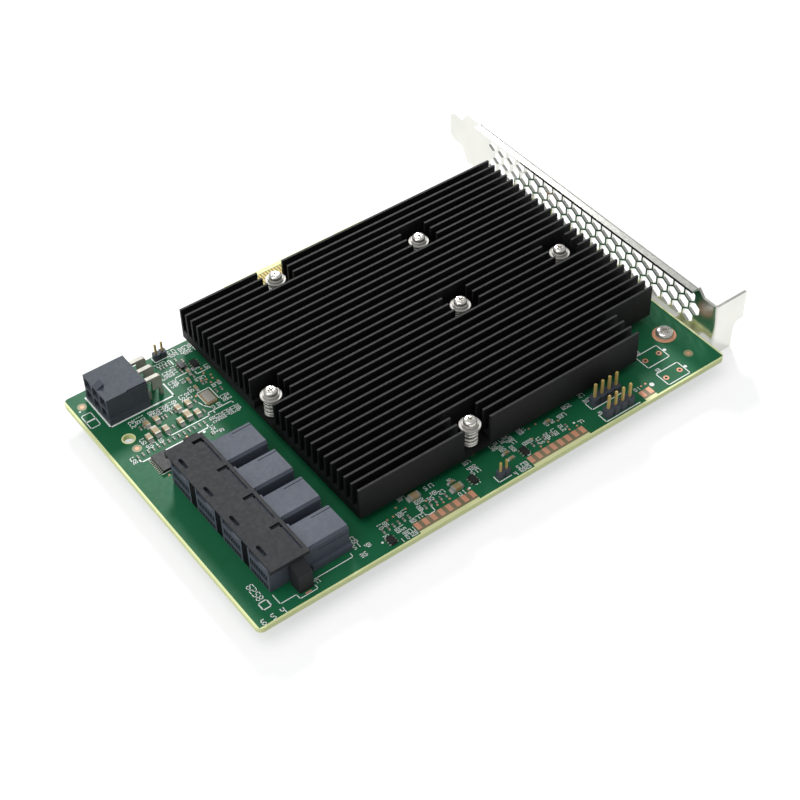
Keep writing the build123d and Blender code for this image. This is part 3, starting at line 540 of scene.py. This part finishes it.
def lathe(shape, x, y, profile, sides=40):
    """Turns a profile of (radius, height) about an upright axis."""
    turns = [2 * math.pi * i / sides for i in range(sides)]
    shape.grid([[(x + r * math.cos(t), y + r * math.sin(t), z) for t in turns] for r, z in profile])


# A pan head's rim, as shares of its radius and height, and the size of its cross recess in shares of its
# radius: half an arm's width, and an arm's reach. The levels of the recess's foot and floor are shares of
# the head's height. RECESS_EDGE and the shank's radii, at its end's middle and along it, are millimetres.
HEAD_RIM = ((1.0, 0.0), (1.0, 0.45), (0.97, 0.66), (0.90, 0.82), (0.78, 0.93), (0.66, 1.0))
ARM_HALF_WIDTH = 0.15
ARM_REACH = 0.56
RECESS_EDGE = 0.04
RECESS_FOOT = 0.42
RECESS_FLOOR = 0.36
SHANK_MIDDLE = 0.01
SHANK_RADIUS = 1.42


def cross_reach(angle, half_width, reach):
    """How far a cross recess reaches from its centre at an angle."""
    fold = abs((angle + math.pi / 4) % (math.pi / 2) - math.pi / 4)
    if reach * math.tan(fold) <= half_width:
        return reach / math.cos(fold)
    return half_width / math.sin(fold)


def screw(shape, x, y, seat, radius, height, end):
    """A pan head with rounded edge and cross recess, on a plain shank."""
    half_width = radius * ARM_HALF_WIDTH
    reach = radius * ARM_REACH
    corner = math.atan2(half_width, reach)
    # Angles in an eighth of a turn, closest together just past an arm's outer corner
    steps = (0, corner / 2, corner, corner * 1.01 + 0.02, 0.45, 0.62, math.pi / 4)
    eighth = list(steps) + [math.pi / 2 - step for step in reversed(steps[1:-1])]
    turns = [quarter * math.pi / 2 + step for quarter in range(4) for step in eighth]
    top = seat + height
    rows = [[(x + radius * share * math.cos(t), y + radius * share * math.sin(t), seat + height * rise)
             for t in turns] for share, rise in HEAD_RIM]
    # The recess as rings, each with its share of the cross's size and its level
    recess = ((1.0, top), (0.96, top - RECESS_EDGE), (0.72, seat + height * RECESS_FOOT),
              (0.02, seat + height * RECESS_FLOOR))
    for scale, z in recess:
        row = []
        for t in turns:
            r = cross_reach(t, half_width, reach) * scale
            row.append((x + r * math.cos(t), y + r * math.sin(t), z))
        rows.append(row)
    shape.grid(rows)
    lathe(shape, x, y, ((SHANK_MIDDLE, end), (SHANK_RADIUS, end), (SHANK_RADIUS, seat), (radius, seat)))


def screws():
    shape = Shape()
    for x, y in SINK_SCREWS:
        screw(shape, x, y, seat=LOCK_WASHER_TOP, radius=1.95, height=1.35, end=-3.97)
    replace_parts(shape.finish("pan_heatsink_screws", "nickel", smooth=True), "heatsink_screws")
    shape = Shape()
    for x, y in BRACKET_SCREWS:
        screw(shape, x, y, seat=0.0, radius=2.6, height=1.7, end=-3.03)
    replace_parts(shape.finish("pan_bracket_screws", "nickel", smooth=True), "bracket_screws")


def washer_profile(low, top, radius, chamfer):
    """A washer's section from its bore's low edge, round its chamfered rim, to its bore's top edge."""
    return [(WASHER_BORE, low), (radius - chamfer, low), (radius, low + chamfer), (radius, top - chamfer),
            (radius - chamfer, top), (WASHER_BORE, top)]


def washers():
    """A flat washer on each spring, and a lock washer on that."""
    shape = Shape()
    flat = washer_profile(WASHER_LOW, WASHER_TOP, WASHER_RADIUS, WASHER_CHAMFER)
    lock = washer_profile(WASHER_TOP, LOCK_WASHER_TOP, LOCK_WASHER_RADIUS, LOCK_WASHER_CHAMFER)
    for x, y in SINK_SCREWS:
        # The flat washer's section closes on itself, with its bore's wall
        lathe(shape, x, y, flat + flat[:1], sides=48)
        lathe(shape, x, y, lock)
    piece = shape.finish("round_washers", "satin_nickel")
    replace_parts(piece, "heatsink_washers")


# Print on the board

PRINT_Z = 0.03

# Printed outlines: the width of the line, and its points
OUTLINES = (
    (0.50, ((5.75, 95.7), (5.75, 81.65), (25.65, 81.65), (25.65, 87.2))),
    (0.34, ((16.8, 69.8), (17.0, 69.05), (29.3, 69.05), (29.4, 70.1), (37.0, 70.1), (37.2, 69.4))),
    (0.30, ((31.1, 70.0), (31.1, 69.2))),
    (0.30, ((29.6, 75.0), (30.0, 73.3), (31.2, 71.6))),
    (0.40, ((5.75, 66.4), (5.85, 65.35), (8.4, 65.35))),
    (0.40, ((13.2, 65.35), (18.8, 65.35))),
    (0.40, ((23.5, 65.35), (26.8, 65.45), (26.9, 66.4))),
    (0.30, ((30.9, 73.4), (30.9, 78.4), (35.0, 78.4), (35.0, 73.2))),
    (0.26, ((8.75, 7.07), (8.78, 3.7), (13.5, 3.7), (13.6, 2.05), (18.9, 2.05), (18.9, 3.2))),
    (0.26, ((19.8, 4.95), (31.6, 4.95), (31.6, 6.1))),
    (0.26, ((7.9, 58.2), (10.4, 58.2))),
    (0.30, ((28.2, 98.0), (28.2, 95.85), (32.4, 95.85))),
    (0.30, ((76.3, 4.2), (76.3, 1.9), (80.4, 1.9))),
    (0.34, ((112.85, 9.7), (112.85, 6.95), (123.2, 6.95))),
    (0.34, ((112.9, 4.4), (112.9, 1.2), (125.0, 1.2))),
    (0.30, ((135.8, 9.55), (143.75, 9.55), (143.75, 15.1), (135.8, 15.1), (135.8, 9.55))),
    (0.30, ((135.8, 1.3), (143.75, 1.3), (143.75, 6.55), (135.8, 6.55), (135.8, 1.3))),
    (0.26, ((54.4, 4.9), (54.9, 4.3), (57.2, 4.4), (57.3, 6.9))),
    (0.26, ((1.25, 84.4), (4.15, 84.4), (4.15, 90.1), (1.25, 90.1), (1.25, 84.4))),
    (0.50, ((1.3, 87.25), (4.1, 87.25))),
    (0.30, ((29.5, 87.2), (33.3, 87.2))),
    (0.30, ((35.2, 86.0), (35.2, 84.9), (37.8, 84.9))),
    (0.30, ((31.2, 94.4), (31.9, 94.4), (31.9, 92.3))),
    (0.34, ((4.4, 4.6), (6.8, 4.6), (6.8, 7.0), (4.4, 7.0), (4.4, 4.6))),
)

# Printed dots: place and radius
DOTS = ((132.2, 4.3, 0.70), (144.4, 12.3, 0.50), (144.4, 3.9, 0.50), (105.7, 6.3, 0.35), (40.1, 4.1, 0.35),
        (24.9, 64.7, 0.42), (68.9, 5.1, 0.35), (1.9, 91.9, 0.30))

# Marks along Y: the middle of the first, the pitch, how many, digits in each, and height
UPRIGHT_MARKS = (
    (10.8, 79.0, 1.7, 2, 3, 1.2), (14.2, 79.5, 2.7, 2, 2, 1.2), (18.5, 78.8, 1.38, 4, 3, 1.15),
    (24.2, 79.2, 1.0, 1, 2, 1.2), (26.8, 79.1, 1.9, 2, 3, 1.2), (30.5, 80.4, 1.0, 1, 3, 1.1),
    (30.5, 84.9, 1.0, 1, 2, 1.1), (27.9, 89.7, 1.35, 3, 3, 1.15), (26.8, 88.6, 1.0, 1, 1, 1.1),
    (27.3, 85.5, 1.3, 2, 3, 1.15), (36.0, 72.4, 1.35, 2, 3, 1.1), (9.9, 71.4, 1.0, 1, 3, 1.2),
    (29.2, 67.0, 1.0, 1, 3, 1.1), (30.7, 67.0, 1.3, 6, 3, 1.1), (4.4, 67.2, 1.0, 1, 3, 1.1),
    (27.5, 64.0, 1.0, 1, 4, 1.0), (29.0, 62.2, 1.0, 1, 2, 1.1), (42.7, 8.6, 1.6, 2, 2, 1.1),
    (48.9, 8.9, 1.5, 2, 2, 1.1), (45.6, 4.95, 1.5, 2, 2, 1.1), (54.5, 7.3, 1.0, 1, 3, 1.0),
    (82.6, 12.7, 1.5, 2, 3, 1.1), (86.0, 12.8, 1.3, 3, 3, 1.0), (91.9, 12.8, 1.3, 2, 3, 1.0),
    (86.7, 9.1, 1.0, 1, 3, 1.0), (94.3, 6.9, 2.55, 4, 3, 1.1), (38.9, 85.5, 1.0, 1, 3, 1.1),
    (31.0, 91.0, 1.0, 1, 2, 0.9), (34.0, 88.0, 1.0, 1, 2, 0.9), (5.7, 10.5, 1.0, 1, 4, 1.8),
)

# Marks along X, in the same way, with the pitch along Y
LEVEL_MARKS = (
    (28.8, 94.5, 1.0, 1, 4, 1.1), (34.0, 95.6, 1.5, 2, 3, 1.1), (38.0, 94.3, 1.9, 2, 4, 1.3),
    (34.9, 83.0, 1.0, 1, 4, 1.0), (37.1, 78.3, 1.0, 1, 4, 1.1), (32.9, 71.2, 1.0, 1, 3, 1.2),
    (12.1, 69.1, 1.0, 1, 5, 1.3), (36.0, 87.3, 1.0, 1, 3, 1.0), (34.0, 9.9, 1.0, 1, 3, 1.1),
    (34.7, 8.7, 1.0, 1, 2, 1.1), (34.1, 7.1, 1.0, 1, 2, 1.2), (36.7, 5.7, 1.0, 1, 2, 1.1),
    (34.1, 3.8, 1.0, 1, 2, 1.2), (42.1, 5.0, 1.0, 1, 2, 1.1), (44.4, 1.6, 1.0, 1, 1, 1.1),
    (47.6, 1.6, 1.4, 2, 4, 1.1), (50.6, 5.2, 1.0, 1, 2, 1.1), (53.1, 5.3, 1.0, 1, 3, 1.1),
    (55.8, 9.5, 1.0, 1, 3, 1.2), (60.7, 12.0, 1.0, 1, 3, 1.2), (60.5, 9.4, 1.0, 1, 2, 1.2),
    (58.7, 8.4, 1.0, 1, 2, 1.2), (62.3, 8.5, 1.0, 1, 2, 1.2), (66.1, 10.3, 1.0, 1, 2, 1.2),
    (66.2, 4.9, 1.0, 1, 2, 1.3), (52.6, 13.0, 1.0, 1, 3, 1.0), (84.3, 10.5, 1.0, 1, 2, 1.2),
    (88.2, 10.8, 1.0, 1, 2, 1.2), (91.3, 8.5, 1.0, 1, 4, 1.0), (73.8, 8.7, 1.6, 2, 3, 1.2),
    (73.8, 12.6, 1.0, 1, 3, 1.0), (71.7, 5.5, 1.0, 1, 2, 1.1), (88.6, 5.2, 1.0, 1, 2, 1.1),
    (100.6, 10.4, 1.0, 1, 3, 1.2), (104.8, 10.4, 1.0, 1, 3, 1.2), (108.0, 12.3, 1.0, 1, 3, 1.2),
    (107.5, 5.5, 1.0, 1, 2, 1.0), (84.9, 1.6, 1.4, 2, 4, 1.1), (81.7, 1.6, 1.0, 1, 1, 1.1),
    (114.2, 10.6, 1.0, 1, 3, 1.1), (114.0, 13.0, 1.0, 1, 2, 1.2), (113.6, 4.8, 1.0, 1, 2, 1.0),
    (127.6, 5.4, 1.0, 1, 2, 1.1), (137.3, 7.4, 1.0, 1, 2, 1.0), (137.5, 15.9, 1.0, 1, 2, 0.9),
    (19.9, 4.0, 1.0, 1, 2, 1.0), (2.4, 1.5, 1.0, 1, 1, 1.7), (5.3, 1.5, 1.0, 1, 1, 1.7),
    (8.2, 1.5, 1.0, 1, 1, 1.7),
)

# The seven bars of a figure on a unit cell, and the bars of each figure
BARS = {"a": (0, 1, 1, 1), "b": (1, 1, 1, 0.5), "c": (1, 0.5, 1, 0), "d": (0, 0, 1, 0), "e": (0, 0.5, 0, 0),
        "f": (0, 1, 0, 0.5), "g": (0, 0.5, 1, 0.5)}
FIGURES = ("abcdef", "bc", "abdeg", "abcdg", "bcfg", "acdfg", "acdefg", "abc", "abcdefg", "abcdfg")

# A figure's width and the step to the next one, in shares of its height, and its line's width
FIGURE_WIDTH = 0.52
FIGURE_STEP = 0.82
FIGURE_LINE = 0.26


def figure(shape, value, x, y, height, upright):
    """One printed figure, its lower left corner at x, y, read along Y if it is upright."""
    width = height * FIGURE_WIDTH
    for bar in FIGURES[value % 10]:
        u0, v0, u1, v1 = BARS[bar]
        ends = ((u0 * width, v0 * height), (u1 * width, v1 * height))
        (x0, y0), (x1, y1) = [(x - v, y + u) if upright else (x + u, y + v) for u, v in ends]
        shape.strip(x0, y0, x1, y1, FIGURE_LINE, PRINT_Z)


def printed_marks(shape):
    """All the marks of plain figures, which are worked out from a running count."""
    count = 1
    for upright, marks in ((True, UPRIGHT_MARKS), (False, LEVEL_MARKS)):
        for x, y, pitch, places, digits, height in marks:
            step = height * FIGURE_STEP
            for index in range(places):
                count += 3
                cx = x + pitch * index if upright else x
                cy = y if upright else y + pitch * index
                for digit in range(digits):
                    along = step * (digit - (digits - 1) / 2) - height * FIGURE_WIDTH / 2
                    value = count * (digit + 3) + digit
                    if upright:
                        figure(shape, value, cx + height / 2, cy + along, height, True)
                    else:
                        figure(shape, value, cx + along, cy - height / 2, height, False)


def board_print():
    shape = Shape()
    for width, points in OUTLINES:
        shape.path(points, width, PRINT_Z)
    for x, y, radius in DOTS:
        shape.disc(x, y, PRINT_Z, radius)
    printed_marks(shape)
    shape.finish("board_print", "white_print")


# Bare copper and bare laminate: the level of each above the board, and where they are

COPPER_Z = 0.02
# HOLE_Z is the level of the painted shade in the empty plated holes
HOLE_Z = 0.014
BARE_Z = 0.012

# Round targets, each in a clear ring, the empty plated holes, and the tooling hole
TARGETS = ((3.27, 93.24), (7.4, 70.55), (148.7, 7.2))
TARGET_RADIUS = 0.55
CLEAR_RADIUS = 1.35
PLATED_HOLES = [(x, y) for y in (12.3, 3.85) for x in (137.15, 142.2)]
# HOLE_MOUTH is the radius of the disc of painted shade in each empty plated hole
HOLE_MOUTH = 0.43
TOOLING_HOLE = (7.4, 75.0)

# Rings round the plated holes, the bracket screws and the tooling hole: inner and outer radius
HOLE_RING = (0.42, 0.85)
SCREW_RING = (1.6, 3.45)
TOOLING_RING = (1.52, 1.95)

# A bar at the near edge, as two places along X and two along Y, and small round test pads
COPPER_BAR = (15.5, 17.3, 2.3, 2.8)
TEST_PADS = (
    (45.5, 9.4), (47.4, 9.4), (51.5, 9.6), (49.7, 11.4), (57.3, 8.5), (58.8, 5.6), (60.6, 5.4), (62.6, 5.4),
    (68.4, 4.9), (94.7, 12.1), (97.2, 12.3), (93.1, 8.7), (93.1, 5.1), (95.7, 5.2), (103.2, 5.2),
    (105.7, 5.0), (102.9, 9.6), (37.2, 86.0), (36.8, 84.1), (36.1, 81.5), (37.8, 81.0), (36.5, 79.8),
    (38.4, 79.3), (20.3, 66.0), (30.3, 77.7), (9.3, 57.1), (129.4, 5.6), (131.0, 5.6), (38.1, 82.4),
    (34.7, 82.0),
)
TEST_PAD_RADIUS = 0.33

# Bands without mask at the near edge: their spans, and where their rim and their inner part start and end
BANDS = ((49.7, 69.0), (87.3, 106.7), (126.9, 131.0))
BAND_RIM_Y = 0.02
BAND_START_Y = 1.25
BAND_END_Y = 4.25


def bare_copper():
    """Targets, rings round screws and holes, one bar, and test pads."""
    shape = Shape()
    for x, y in TARGETS:
        shape.disc(x, y, COPPER_Z, TARGET_RADIUS)
    for x, y in BRACKET_SCREWS:
        shape.ring(x, y, COPPER_Z, *SCREW_RING, sides=40)
    for x, y in PLATED_HOLES:
        shape.ring(x, y, COPPER_Z, *HOLE_RING, sides=24)
    shape.flat(*COPPER_BAR, COPPER_Z)
    for x, y in TEST_PADS:
        shape.disc(x, y, COPPER_Z, TEST_PAD_RADIUS, sides=14)
    shape.finish("bare_copper", "copper")


def bare_bands():
    """Bands of bare laminate, their pale rims, and the clear rings round the targets."""
    shape = Shape()
    rims = Shape()
    for x0, x1 in BANDS:
        shape.flat(x0, x1, BAND_START_Y, BAND_END_Y, BARE_Z)
        rims.flat(x0, x1, BAND_RIM_Y, BAND_START_Y, BARE_Z)
    shape.finish("bare_laminate_bands", "bare_laminate")
    rims.ring(*TOOLING_HOLE, BARE_Z, *TOOLING_RING)
    rims.finish("bare_laminate_rims", "edge_laminate")
    rings = Shape()
    for x, y in TARGETS:
        rings.disc(x, y, BARE_Z, CLEAR_RADIUS, sides=32)
    rings.finish("clear_rings", "clear_ring")


def plated_holes():
    """Painted shade: dark discs over the mouths of the four empty plated holes."""
    shape = Shape()
    for x, y in PLATED_HOLES:
        shape.disc(x, y, HOLE_Z, HOLE_MOUTH, sides=20)
    shape.finish("plated_hole_mouths", "resistor_glass")


# Small parts soldered to the board

# Rows of tiny parts: the place of the first, the pitch along X, and how many
TINY_ROWS = (
    (5.95, 67.5, 1.6, 14), (42.4, 6.9, 1.62, 6), (55.8, 6.9, 1.65, 5), (28.0, 93.0, 1.0, 4),
    (11.8, 76.3, 1.1, 2), (18.7, 76.0, 1.0, 2), (21.6, 76.3, 1.1, 2), (91.7, 6.8, 1.55, 2),
    (95.6, 6.8, 2.6, 2), (103.3, 6.8, 1.0, 1), (19.3, 71.4, 1.0, 1), (29.0, 71.4, 1.0, 1),
    (33.2, 93.2, 1.0, 1), (34.7, 91.9, 1.0, 1), (33.9, 84.8, 1.0, 1), (34.4, 81.0, 1.0, 2),
    (35.9, 76.0, 1.6, 2), (26.3, 62.8, 1.0, 1), (32.2, 88.4, 1.6, 2), (29.0, 76.0, 1.0, 1),
)

# A tiny part along Y from its middle: the ends of its body, its metal and its solder, then half widths
# and heights of each. Solder runs down from its top edge to a wider foot.
BODY_END = 0.28
METAL_END = 0.50
SOLDER_END = 0.78
BODY_HALF = 0.24
METAL_HALF = 0.25
SOLDER_TOP_HALF = 0.27
SOLDER_FOOT_HALF = 0.30
BODY_HEIGHT = 0.34
METAL_HEIGHT = 0.35
SOLDER_TOP = 0.25
SOLDER_FOOT = 0.03

# Larger chips that lie along Y, and along X: place, size along X and along Y, and height of their ends
CHIPS_ALONG_Y = [(x, 72.425, 1.7, 3.1, 0.7) for x in (14.4, 24.5)]
CHIPS_ALONG_Y += [(x, 71.525, 1.45, 2.2, 0.7) for x in (11.8, 17.1, 21.7, 27.1)]
CHIPS_ALONG_Y += [(x, 76.275, 1.45, 2.2, 0.7) for x in (13.85, 16.9, 23.8, 26.9)]
CHIPS_ALONG_Y += [(31.9, 84.1, 0.8, 1.6, 0.4), (31.9, 80.2, 0.8, 1.6, 0.4), (33.6, 86.9, 0.8, 1.6, 0.4)]
CHIPS_ALONG_X = ((55.5, 11.3, 3.1, 1.7, 0.7), (66.2, 6.9, 3.1, 1.7, 0.7), (84.1, 8.7, 1.6, 0.8, 0.4),
                 (84.1, 6.4, 1.6, 0.8, 0.4), (100.3, 10.9, 1.6, 0.8, 0.4), (66.3, 9.4, 1.6, 0.8, 0.4))
FILLET_REACH = 0.6


def tiny_parts():
    """Bodies between two metal ends, each end in its own solder."""
    bodies = Shape()
    ends = Shape()
    for x, y, pitch, count in TINY_ROWS:
        for cx in [x + pitch * i for i in range(count)]:
            bodies.box(cx - BODY_HALF, cx + BODY_HALF, y - BODY_END, y + BODY_END, 0.0, BODY_HEIGHT)
            for side in (-1, 1):
                a = y + side * BODY_END
                b = y + side * METAL_END
                c = y + side * SOLDER_END
                ends.box(cx - METAL_HALF, cx + METAL_HALF, min(a, b), max(a, b), 0.0, METAL_HEIGHT)
                ends.face([(cx - SOLDER_TOP_HALF, b, SOLDER_TOP), (cx + SOLDER_TOP_HALF, b, SOLDER_TOP),
                           (cx + SOLDER_FOOT_HALF, c, SOLDER_FOOT), (cx - SOLDER_FOOT_HALF, c, SOLDER_FOOT)])
    bodies.finish("tiny_part_bodies", "grey_ceramic")
    ends.finish("tiny_part_ends", "solder")


def solder_fillets():
    """Wedges of solder at both ends of each larger chip."""
    shape = Shape()
    for x, y, width, length, height in CHIPS_ALONG_Y:
        half = width / 2
        for side in (-1, 1):
            a = y + side * length / 2
            b = a + side * FILLET_REACH
            shape.face([(x - half, a, height), (x + half, a, height),
                        (x + half, b, SOLDER_FOOT), (x - half, b, SOLDER_FOOT)])
    for x, y, length, width, height in CHIPS_ALONG_X:
        half = width / 2
        for side in (-1, 1):
            a = x + side * length / 2
            b = a + side * FILLET_REACH
            shape.face([(a, y - half, height), (a, y + half, height),
                        (b, y + half, SOLDER_FOOT), (b, y - half, SOLDER_FOOT)])
    shape.finish("solder_fillets", "solder")


# Camera, light and floor: colours are linear, and the floor's half width is in metres

WORLD_COLOUR = (0.97, 0.985, 1.0, 1.0)
WORLD_STRENGTH = 0.38
FLOOR_DARK = (0.53, 0.53, 0.53)
FLOOR_PALE = (0.57, 0.57, 0.57)
FLOOR_GLOW = 0.58
FLOOR_HALF = 8.0


def add_camera():
    camera = new_object("camera", bpy.data.cameras.new("camera"))
    camera.data.sensor_width = CAMERA_SENSOR
    camera.data.lens = CAMERA_LENS
    camera.data.clip_start = CAMERA_NEAR
    axes = Matrix((CAMERA_RIGHT, CAMERA_UP, CAMERA_BACK)).transposed().to_4x4()
    camera.matrix_world = Matrix.Translation(CAMERA_PLACE) @ axes
    bpy.context.scene.camera = camera


def add_lamp(name, direction, distance, size, power):
    """A square lamp that lies in a direction from the origin and shines on it."""
    lamp = new_object(name, bpy.data.lights.new(name, "AREA"))
    lamp.data.shape = "SQUARE"
    lamp.data.size = size
    lamp.data.energy = power
    away = Vector(direction).normalized()
    turn = away.to_track_quat("Z", "Y").to_matrix().to_4x4()
    lamp.matrix_world = Matrix.Translation(away * distance) @ turn


def add_world():
    world = bpy.data.worlds.new("studio")
    bpy.context.scene.world = world
    world.use_nodes = True
    background = world.node_tree.nodes["Background"]
    background.inputs["Color"].default_value = WORLD_COLOUR
    background.inputs["Strength"].default_value = WORLD_STRENGTH


def floor_material():
    """A matt floor that takes the object's shadow, with a glow that makes it near white."""
    shader = Shader("floor")
    shader.shade(colour=shader.mix(shader.noise(40.0), FLOOR_DARK, FLOOR_PALE), rough=0.8)
    rays = shader.add("ShaderNodeLightPath")
    seen = shader.math("MAXIMUM", rays.outputs["Is Camera Ray"], rays.outputs["Is Glossy Ray"])
    seen = shader.math("MAXIMUM", seen, rays.outputs["Is Transmission Ray"])
    glow = shader.add("ShaderNodeEmission", {"Strength": shader.math("MULTIPLY", seen, FLOOR_GLOW)})
    both = shader.add("ShaderNodeAddShader")
    shader.put(both.inputs[0], shader.surface.outputs["BSDF"])
    shader.put(both.inputs[1], glow.outputs["Emission"])
    shader.put(shader.tree.nodes["Material Output"].inputs["Surface"], both.outputs[0])
    return shader.material


def add_floor():
    """A level floor at the object's lowest point."""
    z = cad_box[0][2]
    corners = [(x * FLOOR_HALF, y * FLOOR_HALF, z) for x, y in ((-1, -1), (1, -1), (1, 1), (-1, 1))]
    mesh = bpy.data.meshes.new("floor")
    mesh.from_pydata(corners, [], [(0, 1, 2, 3)])
    mesh.materials.append(floor_material())
    floor = new_object("floor", mesh)


bpy.context.scene.view_settings.view_transform = "Standard"
dress_nodes()
pocketed_heatsink()
port_cover()
port_fronts()
springs()
screws()
washers()
board_print()
bare_copper()
bare_bands()
plated_holes()
tiny_parts()
solder_fillets()
add_camera()
add_lamp("key", direction=(0.412, 0.695, 0.589), distance=1.6, size=0.30, power=20.0)
add_lamp("top", direction=(-0.35, 0.0, 0.94), distance=1.4, size=1.2, power=6.5)
add_lamp("side", direction=(-0.90, -0.12, 0.42), distance=1.6, size=0.5, power=3.6)
add_world()
add_floor()
